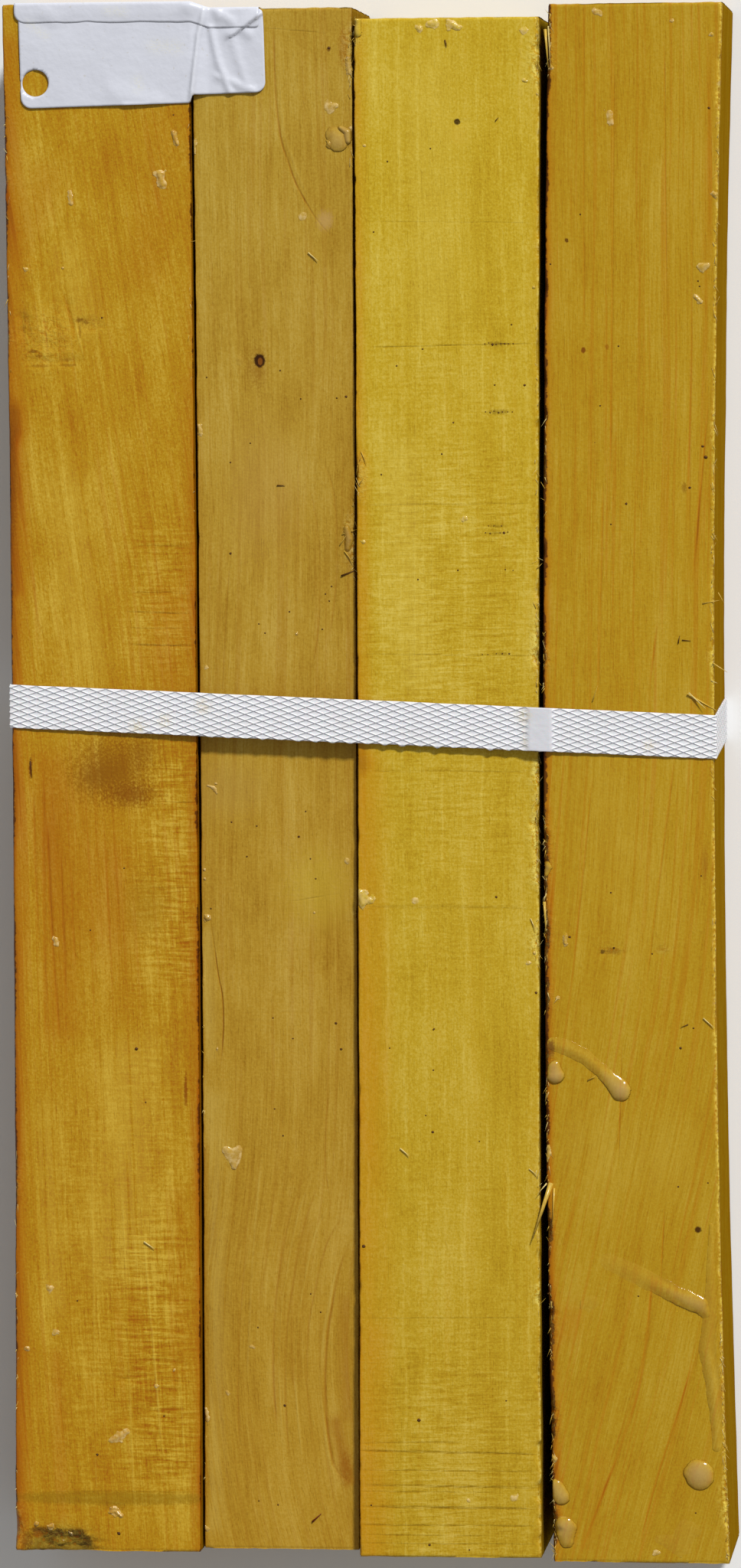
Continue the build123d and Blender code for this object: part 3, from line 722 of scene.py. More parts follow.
def drawVeins(wood, marks, share, x, y, low, high):
    # fine lines along the blank, each on a curve of its own that fades at its ends
    veins = 0.0
    fromLow, spanX = wood.minus(x, low.x), high.x - low.x
    for points, wide, strength in marks["veins"]:
        line = sorted((spot(px, py, marks["top"]) for px, py in points), key=lambda point: point[1])
        course = [((atY - low.y) / (high.y - low.y), (atX - low.x) / spanX) for atX, atY in line]
        across = wood.absolute(wood.addScaled(wood.curve(share, course), -spanX, fromLow))
        near = wood.range(across, 0.0, wide, strength, 0.0)
        middle, half = (line[0][1] + line[-1][1]) / 2, (line[-1][1] - line[0][1]) / 2
        fade = wood.range(wood.absolute(wood.minus(y, middle)), half + 3, half - 6)
        veins = wood.addScaled(near, fade, veins)
    return veins


def drawSeams(wood, marks, x, level):
    # cuts and scratches across the blank, as a mask for their grooves and for painted shade in them
    seams = 0.0
    for startX, startY, endX, endY, wide, strength in marks["seams"]:
        start, end = spot(startX, startY, marks["top"]), spot(endX, endY, marks["top"])
        slope = (end[1] - start[1]) / (end[0] - start[0])
        crossing = start[1] - slope * start[0] + 0.4
        away = wood.absolute(wood.minus(wood.addScaled(x, -slope, level), crossing))
        near = wood.range(away, wide, 0.0, 0.0, strength)
        middle, half = (start[0] + end[0]) / 2, (end[0] - start[0]) / 2
        fade = wood.range(wood.absolute(wood.minus(x, middle)), half + 1, half - 4)
        seams = wood.addScaled(near, fade, seams)
    return seams


def addPatches(wood, marks, place, ragged, onTop, color):
    # patches of another colour with ragged or soft edges
    for px, py, halfX, halfY, shade, strength, soft in marks["patches"]:
        atX, atY = spot(px, py, marks["top"])
        offset = wood.node("VectorMath", {0: place, 1: (-atX, -atY, 0.0)}, operation="ADD").outputs[0]
        offset = wood.stretch(offset, 1 / (halfX * pixel), 1 / (halfY * pixel), 0.0)
        away = wood.node("VectorMath", {0: offset}, operation="LENGTH").outputs["Value"]
        away = wood.addScaled(ragged, min(1.0, 1.2 * soft), away)
        mask = wood.range(away, 1.15, 1.1 - soft, 0.0, strength, "SMOOTHSTEP")
        color = wood.mixColor(wood.times(mask, onTop), color, tone(*shade))
    return color


def makeWood(name, poured=False):
    marks, look = blankLooks[name], blankLooks[name]["wood"]
    low, high = (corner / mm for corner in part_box(name))
    wood = Surface(name + ("_poured_wax" if poured else "_waxed_wood"))
    place = wood.place()
    x, y, z = wood.split(place)
    share = wood.range(y, low.y, high.y)

    # grain space: straightened along the drift of the fibres, slightly wavy, and stretched along the blank
    drift = wood.times(wood.curve(share, look["drift"]), -50.0)
    wave = wood.times(wood.noise(wood.stretch(place, 1, 0.3, 1), 0.022, 1.0), 6.0)
    grainX = wood.plus(wood.plus(x, drift), wood.plus(wave, marks["seed"] * 31.0))
    fibreSpace = wood.join(grainX, wood.times(y, 0.030), z)
    bandSpace = wood.join(grainX, wood.times(y, 0.012), z)
    bands = wood.noise(bandSpace, 0.085, 1.5)
    streaks = wood.noise(fibreSpace, 0.46, 4.0, 0.66)
    fibres = wood.noise(fibreSpace, 2.3, 2.0, 0.6)
    clouds = wood.noise(wood.stretch(place, 1, 0.42, 1), 0.075, 4.0, 0.6)
    speckle = wood.noise(wood.stretch(place, 1, 0.9, 1), 1.5, 3.0, 0.68)

    # growth rings round the tree's heart, seen as rings on the ends and as lost lines on the faces
    ringX = wood.minus(wood.plus(x, wave), low.x + look["pith"][0])
    ringZ = wood.minus(wood.plus(z, wood.times(wave, 0.6)), look["pith"][1])
    radius = wood.math("SQRT", wood.plus(wood.times(ringX, ringX), wood.times(ringZ, ringZ)))
    rings = wood.noise(wood.join(radius, wood.times(y, 0.002), 0.0), 0.42, 2.0, 0.7)
    facing = wood.split(wood.node("NewGeometry").outputs["Normal"])
    onEnd = wood.range(wood.absolute(facing[1]), 0.6, 0.9)
    onTop = wood.range(facing[2], 0.3, 0.8)

    # how light the wood is, 0.5 in the middle
    value = 0.5
    for part, strength in ((bands, look["bands"]), (streaks, look["streaks"]), (fibres, look["fibre"]),
                           (clouds, look["clouds"]), (rings, 0.12)):
        value = wood.addScaled(wood.minus(part, 0.5), strength, value)
    value = wood.addScaled(wood.times(wood.minus(rings, 0.5), onEnd), 1.3, value)
    value = wood.addScaled(wood.minus(speckle, 0.5), look["speckle"], value)

    # pale lines along the grain, and ripples or saw lines across it where the attribute calls for them
    linePlace = wood.math("PINGPONG", wood.addScaled(clouds, 7.0, grainX), look["linePitch"] / 2)
    lines = wood.range(linePlace, 0.0, 0.75, 1.0, 0.0)
    lines = wood.times(wood.times(lines, wood.range(streaks, 0.35, 0.65, 0.25, 1.0)), onTop)
    value = wood.addScaled(lines, look["lines"], value)
    if look["ripple"] == "curl":
        crossing = wood.join(wood.times(grainX, 0.11), wood.times(y, 0.95), 0.0)
        lengthwise = wood.noise(wood.join(wood.times(grainX, 1.1), wood.times(y, 0.10), 3.0), 1.0, 1.0)
        weaving = wood.noise(crossing, 1.05, 3.0, 0.6, 0.25)
        weaving = wood.addScaled(wood.minus(lengthwise, 0.5), 0.4, weaving)
    else:
        crossing = wood.join(wood.times(x, 0.12), wood.addScaled(x, -0.022, y), 0.0)
        weaving = wood.noise(crossing, 0.95, 4.0, 0.72, 0.15)
    ripples = wood.times(wood.minus(weaving, 0.5), wood.attribute("ripple"))
    value = wood.addScaled(ripples, look["rippleStrength"] * 2.2, value)
    poreSpace = wood.join(wood.times(grainX, 1.7), wood.times(y, 0.16), wood.times(z, 1.7))
    pores = wood.range(wood.noise(poreSpace, 1.9, 1.0), 0.60, 0.72)
    value = wood.addScaled(pores, -look["pores"], value)

    stops = [(0.16, tone(*look["dark"])), (0.5, tone(*look["mid"])), (0.84, tone(*look["light"]))]
    tint = wood.ramp(share, [(0.0, look["foot"]), (0.45, look["middle"]), (0.9, look["head"])])
    color = wood.mixColor(1.0, wood.ramp(value, stops), tint, "MULTIPLY")

    # stains, dark or pale, broken up by the fibres, with thin veins along the blank, and seams across it
    # darkened as painted shade in their grooves
    threads = wood.range(wood.noise(bandSpace, 0.8, 1.0), 0.55, 0.66)
    stain = wood.addScaled(threads, -look["threads"], wood.attribute("stain"))
    veins = drawVeins(wood, marks, share, x, y, low, high)
    veins = wood.times(veins, wood.times(wood.range(streaks, 0.32, 0.58, 0.35, 1.0), onTop))
    seams = drawSeams(wood, marks, x, wood.addScaled(clouds, 0.8, y))
    seams = wood.times(seams, wood.times(wood.range(weaving, 0.38, 0.62, 1.0, 0.25), onTop))
    # painted shade in the seams' grooves
    color = wood.mixColor(seams, color, wood.mixColor(1.0, color, (0.56, 0.49, 0.32), "MULTIPLY"))
    soaked = wood.attribute("soaked")
    stain = wood.minus(wood.plus(stain, veins), wood.math("MINIMUM", soaked, 1.1))
    broken = wood.times(wood.range(streaks, 0.3, 0.6, 0.6, 1.0), wood.range(clouds, 0.3, 0.6, 0.6, 1.0))
    dark = wood.times(wood.range(stain, 0.0, -1.3), broken)
    deep = wood.times(wood.range(stain, -1.0, -2.0, 0.0, 0.6), broken)
    color = wood.mixColor(dark, color, tone(*look["stained"]))
    color = wood.mixColor(deep, color, tone(*blankTones["deepStain"]))
    color = wood.mixColor(wood.times(wood.range(stain, 0.0, 1.0), 0.6), color, tone(*look["light"]))
    ragged = wood.addScaled(speckle, 1.5, wood.addScaled(streaks, 0.5, -1.0))
    color = addPatches(wood, marks, place, ragged, onTop, color)

    # arrises: a dark toothed fringe where the wax has soaked in, raw and whitish where they are knocked
    teeth = wood.range(wood.noise(wood.stretch(place, 0.5, 1, 0.5), 0.42, 3.0, 0.7), 0.3, 0.7, 0.4, 1.6)
    fringe = wood.range(wood.times(soaked, teeth), 0.75, 1.0, 0.0, 0.85)
    color = wood.mixColor(fringe, color, tone(*blankTones["fringe"]))
    edge, hurt = wood.attribute("edge"), wood.attribute("hurt")
    crumbs = wood.noise(place, 0.9, 3.0, 0.65)
    torn = wood.times(wood.range(hurt, 0.08, 0.6), wood.attribute("pale"))
    torn = wood.times(wood.range(crumbs, 0.44, 0.58), torn)
    frayed = wood.times(wood.range(crumbs, 0.42, 0.60), wood.range(edge, 0.12, 0.4, 0.0, 0.85))
    color = wood.mixColor(wood.math("MAXIMUM", torn, frayed), color, tone(*look["raw"]))
    holes = wood.times(wood.range(crumbs, 0.44, 0.36), wood.range(hurt, 0.15, 0.7))
    color = wood.mixColor(wood.times(holes, 0.8), color, tone(*look["stained"]))
    knocked = wood.range(wood.noise(place, 0.34, 3.0, 0.6), 0.60, 0.68)
    knocked = wood.times(knocked, wood.range(edge, 0.10, 0.5))
    dusty = wood.times(onEnd, wood.range(wood.noise(place, 0.12, 3.0, 0.6), 0.45, 0.7, 0.1, 0.6))
    white = wood.math("MAXIMUM", knocked, dusty)
    color = wood.mixColor(wood.times(white, 0.6), color, tone(*blankTones["chalk"]))

    # the sides: painted shade makes them darker, and they are streaky
    streaky = wood.noise(wood.stretch(place, 1, 0.045, 1.4), 0.7, 4.0, 0.65)
    sideShade = wood.ramp(streaky, [(0.3, (0.52, 0.46, 0.27)), (0.7, (0.72, 0.67, 0.45))])
    onSide = wood.times(wood.range(facing[2], 0.75, 0.35), wood.range(onEnd, 1.0, 0.0, 0.35, 1.0))
    color = wood.mixColor(onSide, color, wood.mixColor(1.0, color, sideShade, "MULTIPLY"))

    roughness = wood.mixValue(white, wood.range(fibres, 0.3, 0.7, 0.48, 0.62), 0.4)
    roughness = wood.mixValue(onTop, 0.75, roughness)
    glaze, sheen = wood.range(facing[2], 0.1, 0.7, 0.0, look["coat"]), look["coatRoughness"]
    lumps = wood.noise(place, 0.11, 2.0, 0.5)
    if poured:
        # thin wax lets the wood show through, thick wax is milky, broken flakes are whitish, and the thin rim
        # of a standing drop is darker, partly the wax's own amber edge and partly painted shade round its
        # foot
        thick, frost = wood.attribute("thick"), wood.attribute("frost")
        color = wood.mixColor(wood.range(thick, 0.28, 0.95, 0.06, 0.78), color, tone(*waxLook["drop"]))
        glaze, sheen = wood.mixValue(wood.range(thick, 0.05, 0.5), glaze, 1.0), waxLook["coatRoughness"]
        # the thin rim of a standing drop, darker: partly the wax's own edge and partly painted shade
        clear = wood.times(wood.range(thick, 0.0, 0.24, 0.42, 0.0), wood.attribute("standing"))
        color = wood.mixColor(clear, color, tone(*waxLook["rim"]))
        flaky = wood.times(frost, wood.range(crumbs, 0.42, 0.60, 0.2, 1.0))
        rim = wood.times(wood.range(thick, 0.0, 0.05), wood.range(thick, 0.08, 0.22, 1.0, 0.40))
        color = wood.mixColor(wood.times(flaky, rim), color, tone(*waxLook["flake"]))
        roughness = wood.mixValue(wood.range(thick, 0.0, 0.3), roughness, 0.28)
        normal = wood.bump(wood.noise(place, 0.9, 2.0), 0.3, 0.0002)
        waxNormal = wood.bump(wood.addScaled(crumbs, frost, lumps), 0.5, 0.0004)
    else:
        # a face of fibres and lines, under a coat of wax with slow lumps of its own
        face = wood.addScaled(fibres, 0.5, wood.times(pores, -0.5))
        for part, strength in ((ripples, 1.6), (speckle, 1.4 * look["speckle"]), (seams, -2.2), (veins, 1.3),
                               (wood.times(crumbs, wood.range(hurt, 0.05, 0.5)), 5.0)):
            face = wood.addScaled(part, strength, face)
        waxFace = wood.addScaled(wood.noise(place, 0.5, 2.0), 0.12, lumps)
        normal = wood.bump(face, 0.8, 0.00010)
        waxNormal = wood.bump(wood.addScaled(ripples, 0.25, waxFace), 0.6, 0.0007)
    return wood.set(color=color, roughness=roughness, specular=0.0, normal=normal, coat=glaze,
                    coatRoughness=sheen, coatIor=1.44, coatNormal=waxNormal)


blankPieces = {}
for name, look in blankLooks.items():
    blank = sawBlank(name)
    waxedWood = makeWood(name)
    blank.data.materials.append(waxedWood)
    paintNode(name, waxedWood)
    finishPiece(blank, look["slot"], name)
    blankPieces[name] = blank
    print(name, "sawn:", len(blank.data.polygons), "faces")


# the strap

# Lengths in millimetres: the emboss is a net of ridges with diamond pockets, pitches along and across the
# band, and the weld is the plain pressed patch where the band's end lies over its beginning. Slopes are
# how far towards the heads the band runs for each millimetre to the right, and for each millimetre up.
# Smudges are x, y in pixels and a size.
strapLook = dict(
    slot="strap_plastic", width=12.7, thickness=0.6, level=54.3, slopeAcross=-9.3 / 209.0,
    slopeUp=-3.0 / 53.5, pitchAlong=5.16, pitchAcross=1.86, pocket=0.17, weldFrom=47.3, weldTo=55.3,
    # flank is where on each ridge a painted shadow lies: the line colour is that painted shadow along each
    # ridge's flank that faces the foot, and the pockets' colour, a little below the ridges', is painted shade
    # in the recesses
    weldRise=0.5, teeth=0.7, teethFrom=-48.0, teethTo=52.0, flank=0.15, color=(243, 242, 243),
    pocketShadeColor=(226, 226, 229), flankShadowColor=(166, 168, 176), weldColor=(210, 210, 215),
    hazeColor=(196, 194, 190), smudgeColor=(205, 190, 148),
    smudges=[(265, 922, 2.0), (180, 950, 2.4), (215, 942, 2.0), (848, 975, 1.6), (500, 905, 1.5),
             (684, 935, 2.2), (690, 915, 1.5)])


def strapRoute(inside, corners=10):
    # the band's middle line round the pack, as points and outward directions, off the CAD band's inner wall
    low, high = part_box("strap")
    middle = (low + high) / 2
    tree = treeOf(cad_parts["strap"].data)
    hits = []
    for turn in np.linspace(0, 2 * math.pi, 4000, endpoint=False):
        aim = Vector((math.cos(turn), 0, math.sin(turn)))
        aim.y = strapLook["slopeAcross"] * aim.x + strapLook["slopeUp"] * aim.z
        hit = tree.ray_cast(middle, aim.normalized())[0]
        if hit:
            hits.append((hit.x / mm, hit.z / mm))
    wall = np.array(hits)
    # keep the corners of the wall: where it turns
    before, after = wall - np.roll(wall, 6, axis=0), np.roll(wall, -6, axis=0) - wall
    bend = before[:, 0] * after[:, 1] - before[:, 1] * after[:, 0]
    bend /= np.hypot(*before.T) * np.hypot(*after.T)
    turns = []
    for k in np.argsort(-bend):
        if bend[k] < 0.004:
            break
        if all(np.hypot(*(wall[k] - wall[j])) > 3.0 for j in turns):
            turns.append(k)
    ring = wall[sorted(turns)]
    ring = np.roll(ring, -int(np.argmin(ring[:, 0] + 3 * ring[:, 1])), axis=0)
    points, normals = [], []
    for k in range(len(ring)):
        here, coming, going = ring[k], ring[k] - ring[k - 1], ring[(k + 1) % len(ring)] - ring[k]
        first = math.atan2(-coming[0], coming[1])
        last = math.atan2(-going[0], going[1])
        last += 2 * math.pi * round((first - last) / (2 * math.pi))
        for share in np.linspace(0, 1, corners if abs(last - first) > 0.5 else 2):
            direction = first + share * (last - first)
            normal = np.array((math.cos(direction), math.sin(direction)))
            points.append(here + normal * inside)
            normals.append(normal)
        length = np.hypot(*going)
        step = strapLook["pitchAlong"] / 8
        for share in np.arange(step, length - step / 2, step) / length:
            points.append(here + going * share + normals[-1] * inside)
            normals.append(normals[-1])
    return np.array(points), np.array(normals), middle / mm


def weaveStrap():
    look = strapLook
    points, normals, middle = strapRoute(look["thickness"] / 2)
    around = np.concatenate(([0], np.cumsum(np.hypot(*np.diff(points, axis=0).T))))
    count, across = len(points), 55
    bm = bmesh.new()
    bmesh.ops.create_grid(bm, x_segments=count, y_segments=across, size=0.5)
    outline = [edge for edge in bm.edges if edge.is_boundary]
    inner = []
    for side in (-0.5, 0.5):
        rim = [edge for edge in outline if all(abs(v.co.y - side) < 1e-6 for v in edge.verts)]
        made = bmesh.ops.extrude_edge_only(bm, edges=rim)["geom"]
        for vertex in (part for part in made if isinstance(part, bmesh.types.BMVert)):
            vertex.co.z = -1
        edges = (part for part in made if isinstance(part, bmesh.types.BMEdge))
        inner += [edge for edge in edges if all(v.co.z < -0.5 for v in edge.verts)]
    bmesh.ops.bridge_loops(bm, edges=inner)
    mesh = newMesh(bm, "strapBand")
    flat = readPoints(mesh)
    column = np.rint((flat[:, 0] + 0.5) * count).astype(int) % count
    v = flat[:, 1] * look["width"] * 1.0026
    under = flat[:, 2] < -0.5
    base, normal = points[column], normals[column]
    x = base[:, 0]
    onTop = normal[:, 1] > 0.8

    # the emboss, left plain in the weld
    first = around[column] / look["pitchAlong"] + v / look["pitchAcross"]
    second = around[column] / look["pitchAlong"] - v / look["pitchAcross"]
    one, two = np.abs(np.sin(np.pi * first)), np.abs(np.sin(np.pi * second))
    pocket = np.minimum(one * 1.12, two) ** 0.6
    weld = onTop * np.clip((x - look["weldFrom"]) / 0.5, 0, 1) * np.clip((look["weldTo"] - x) / 0.7, 0, 1)
    rise = -look["pocket"] * pocket * (1 - weld)
    pressed = look["weldRise"] + 0.05 * softNoise(x / 2.5, v / 2.5, 71)
    pressed += 0.03 * softNoise(x / 0.8, v / 0.8, 72)
    rise += weld * pressed
    bead = onTop * np.exp(-((x - look["weldFrom"] + 0.6 - 0.5 * lineNoise(v / 1.7, 73)) / 0.75) ** 2)
    bead *= 0.5 + 0.9 * np.abs(softNoise(x / 0.8, v / 0.7, 74))
    rise += 0.28 * bead
    height = np.where(under, -look["thickness"] / 2, look["thickness"] / 2 + rise)
    writeAttribute(mesh, "first", first)
    writeAttribute(mesh, "second", second)
    writeAttribute(mesh, "plain", np.where(under, 1.0, weld))
    edge = np.abs(v) > look["width"] * 0.5
    height -= np.where(edge & ~under, 0.10, 0)

    # teeth where the ridges were cut through at the near edge
    tooth = sum(np.clip(1 - 5.0 * np.abs((run + 0.5) % 1 - 0.5), 0, 1) for run in (first, second))
    teeth = tooth * (0.5 + 0.5 * lineNoise(x / 3, 75)) * onTop * (v < -6.3) * ~under
    teeth *= 0.55 + 0.45 * lineNoise(x / 0.9, 77)
    teeth *= np.clip((x - look["teethFrom"]) / 2, 0, 1) * np.clip((look["teethTo"] - x) / 2, 0, 1)
    v = v - look["teeth"] * teeth + 0.06 * softNoise(around[column] / 6, v / 30, 76)
    xz = base + normal * height[:, None]
    x, z = xz[:, 0], xz[:, 1]
    y = middle.y + look["slopeAcross"] * (x - middle.x) + look["slopeUp"] * (z - middle.z) + v
    writePoints(mesh, np.column_stack((x, y, z)) * mm)

    smudge = np.zeros(len(x))
    for px, py, size in look["smudges"]:
        atX, atY = spot(px, py, look["level"])
        away = np.hypot(x - atX, y - atY) / size
        smudge = np.maximum(smudge, np.exp(-away ** 2) * onTop)
    writeAttribute(mesh, "smudge", np.maximum(smudge, 0.7 * np.clip(bead, 0, 1)))
    bm = bmesh.new()
    bm.from_mesh(mesh)
    bmesh.ops.remove_doubles(bm, verts=bm.verts, dist=1e-6)
    bmesh.ops.recalc_face_normals(bm, faces=bm.faces)
    bm.to_mesh(mesh)
    bm.free()
    return newPiece(mesh, "strapBand")


def makeStrapPlastic():
    plastic = Surface("embossed_strap_plastic")
    place = plastic.place()
    ridge = line = None
    for name, way in (("first", -1.0), ("second", 1.0)):
        swing = plastic.math("SINE", plastic.times(plastic.attribute(name), math.pi))
        band = plastic.range(plastic.absolute(swing), 0.44, 0.10)
        ridge = plastic.math("MAXIMUM", ridge, band) if ridge else band
        # a thin line on the flank of each ridge that faces the foot, a painted shadow
        past = plastic.math("FRACT", plastic.times(plastic.attribute(name), way))
        flank = plastic.range(plastic.absolute(plastic.minus(past, strapLook["flank"])), 0.11, 0.05)
        line = plastic.math("MAXIMUM", line, flank) if line else flank
    # the ridges painted lighter than the pockets: painted light and shade of the emboss
    color = plastic.mixColor(ridge, tone(*strapLook["pocketShadeColor"]), tone(*strapLook["color"]))
    color = plastic.mixColor(line, color, tone(*strapLook["flankShadowColor"]))
    color = plastic.mixColor(plastic.attribute("plain"), color, tone(*strapLook["weldColor"]))
    ridge = plastic.mixValue(plastic.attribute("plain"), ridge, 0.5)
    haze = plastic.noise(place, 0.12, 3.0, 0.6)
    color = plastic.mixColor(plastic.range(haze, 0.35, 0.75, 0.0, 0.22), color, tone(*strapLook["hazeColor"]))
    grime = plastic.range(plastic.noise(place, 1.2, 3.0, 0.6), 0.36, 0.6)
    smudge = plastic.times(plastic.attribute("smudge"), grime)
    color = plastic.mixColor(plastic.times(smudge, 0.7), color, tone(*strapLook["smudgeColor"]))
    grit = plastic.noise(plastic.stretch(place, 0.5, 2.0, 1.0), 2.6, 2.0)
    normal = plastic.bump(plastic.addScaled(grit, 0.3, ridge), 0.8, 0.00012)
    roughness = plastic.range(haze, 0.3, 0.7, 0.38, 0.52)
    return plastic.set(color=color, roughness=roughness, specular=0.4, normal=normal, scatter=0.08,
                       scatterScale=0.0008)


strap, strapPlastic = weaveStrap(), makeStrapPlastic()
strap.data.materials.append(strapPlastic)
paintNode("strap", strapPlastic)
finishPiece(strap, strapLook["slot"], "strap")
print("strap embossed:", len(strap.data.polygons), "faces")


# the two tags

# Lengths in millimetres, the turn in degrees. The levels are how high the first tag and the other one's
# strip stand in view, and reach is how much of the first tag lies below its corner at the heads. Creases
# and pleats are two ends in pixels, a width and a height in millimetres; the first three creases also get a
# painted highlight along their crest. Scuffs have ends and a width.
tagLook = dict(
    slot="tag_plastic", width=72.0, height=30.0, thickness=0.16, corner=3.1, stripCorner=0.9, hole=3.9,
    holeFromLeft=4.4, holeFromFoot=7.3, reach=28.8, pleatFromLeft=51.0, pleatStep=2.4, turn=1.4, strip=5.9,
    bend=0.55, level=52.6, stripLevel=53.6, highlightedCreases=3, color=(206, 208, 217), worn=(194, 195, 204),
    crumb=(214, 212, 198), foldHighlightColor=(226, 228, 234), speckColor=(186, 180, 164),
    creases=[((268, 2), (264, 26), 0.9, 1.0), ((264, 26), (259, 46), 0.8, 1.05),
             ((259, 46), (250, 128), 0.65, 1.15), ((274, 36), (284, 80), 1.0, 0.7),
             ((284, 80), (300, 120), 1.1, 0.7), ((300, 45), (322, 112), 1.3, 0.35),
             ((290, 20), (325, 45), 1.5, 0.5), ((150, 122), (205, 138), 3.0, 0.4),
             ((60, 60), (120, 64), 6.0, 0.2), ((165, 138), (192, 139), 1.6, 0.6),
             ((284, 100), (330, 118), 1.3, 0.5), ((246, 8), (268, 6), 2.2, 0.5),
             ((277, 4), (286, 20), 1.4, 0.6), ((60, 20), (72, 28), 2.5, 0.3)],
    pleats=[((341, 17), (303, 46), 1.9, 1.25)],
    scuffs=[((37, 31), (60, 47), 1.2), ((179, 104), (180, 114), 1.6), ((140, 14), (160, 16), 1.5),
            ((200, 60), (230, 62), 2.0)])


def roundedGrid(bm, width, height, corner, rightCorner, step=0.55):
    # a flat sheet of even squares from 0, 0 to width, height, its left and right corners drawn in to a radius
    across, up = round(width / step), round(height / step)
    made = bmesh.ops.create_grid(bm, x_segments=across, y_segments=up, size=0.5)["verts"]
    for vertex in made:
        x, y = (vertex.co.x + 0.5) * width, (vertex.co.y + 0.5) * height
        radius = corner if x < width / 2 else rightCorner
        a = 1 - min(x, width - x) / radius
        b = 1 - min(y, height - y) / radius
        if a > 0 and b > 0:
            most = max(a, b)
            angle = (b / most if a >= b else 2 - a / most) * math.pi / 4
            pushX, pushY = radius * (1 - most * math.cos(angle)), radius * (1 - most * math.sin(angle))
            x = pushX if x < width / 2 else width - pushX
            y = pushY if y < height / 2 else height - pushY
        vertex.co = Vector((x, y, 0))


def punch(bm, centre, radius):
    # cuts a round hole and draws its rim to the circle, and leaves the sheet's outline alone
    outline = {vertex for vertex in bm.verts if vertex.is_boundary}
    gone = [face for face in bm.faces if (face.calc_center_median() - centre).length < radius]
    bmesh.ops.delete(bm, geom=gone, context="FACES")
    for vertex in bm.verts:
        if vertex in outline:
            continue
        away = vertex.co - centre
        if vertex.is_boundary and away.length < radius + 1.0:
            vertex.co = centre + away.normalized() * radius
        elif away.length < radius + 1.6:
            vertex.co = centre + away.normalized() * max(away.length, radius + 0.25)


def lowRelief(x, y):
    # creases, waves and bulges of both tags, in millimetres above where they lie
    relief = np.zeros(len(x))
    for start, end, wide, high in tagLook["creases"]:
        away = nearPath(x, y, (start, end), tagLook["level"]) / wide
        relief = np.maximum(relief, high * np.exp(-away ** 2))
    for start, end, wide, high in tagLook["pleats"]:
        # a pleat rises slowly to its line from the upper left and drops at once beyond it
        (startX, startY), (endX, endY) = spot(*start, tagLook["level"]), spot(*end, tagLook["level"])
        beyond = (endX - startX) * (y - startY) - (endY - startY) * (x - startX) > 0
        away = nearPath(x, y, (start, end), tagLook["level"]) / np.where(beyond, 0.35, wide)
        relief = np.maximum(relief, high * np.exp(-away ** 2))
    relief += 0.07 * (1 + softNoise(x / 9, y / 7, 81)) + 0.03 * (1 + softNoise(x / 3.5, y / 3, 82))
    return relief


def seatsOf(name):
    # tells how high a CAD tag's top lies at x, y, and where its back is at x, z
    tree = treeOf(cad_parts[name].data)

    def topAt(x, y):
        hit = tree.ray_cast(Vector((x, y, 100)) * mm, Vector((0, 0, -1)))[0]
        if hit is None:
            hit = tree.find_nearest(Vector((x, y, 52)) * mm)[0]
        return hit.z / mm

    def backAt(x, z):
        hit = tree.ray_cast(Vector((x, 300, z)) * mm, Vector((0, -1, 0)))[0]
        return hit.y / mm if hit else None
    return topAt, backAt


def layFaceTag():
    look = tagLook
    bm = bmesh.new()
    roundedGrid(bm, look["width"], look["height"], look["corner"], look["corner"])
    punch(bm, Vector((look["holeFromLeft"], look["holeFromFoot"], 0)), look["hole"])
    mesh = newMesh(bm, "faceTag")
    flat = readPoints(mesh)
    low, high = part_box("face_tag")
    topAt = seatsOf("face_tag")[0]
    # turned about its upper left corner, with the part beyond the pleat pulled up
    turn, reach = math.radians(look["turn"]), look["reach"]
    cornerX, cornerY = low.x / mm + 0.72, low.y / mm + reach - 0.05
    dx, dy = flat[:, 0], flat[:, 1] - reach
    x = cornerX + dx * math.cos(turn) - dy * math.sin(turn)
    y = cornerY + dx * math.sin(turn) + dy * math.cos(turn)
    pulled = np.clip((x - (cornerX + look["pleatFromLeft"])) / 1.1 + 0.5, 0, 1)
    stepped = look["pleatStep"] * pulled * pulled * (3 - 2 * pulled)
    y += stepped
    # the part under the other tag's strip is gathered in before the heads
    limit, gatherFrom = high.y / mm, high.y / mm - 6
    upper = cornerY + dx * math.sin(turn) + (look["height"] - reach) * math.cos(turn) + stepped
    squeeze = np.minimum(1, (limit - gatherFrom) / (upper - gatherFrom))
    y = np.where(y > gatherFrom, gatherFrom + (y - gatherFrom) * squeeze, y)
    seatX = np.clip(x, low.x / mm + 0.8, high.x / mm - 0.8)
    seatY = np.clip(y, low.y / mm + 3.2, high.y / mm - 2.6)
    z = np.array([topAt(px, py) for px, py in zip(seatX, seatY)])
    z += lowRelief(x, y) * np.clip((limit - y) / 3, 0, 1)
    writePoints(mesh, np.column_stack((x, y, z)) * mm)
    return mesh


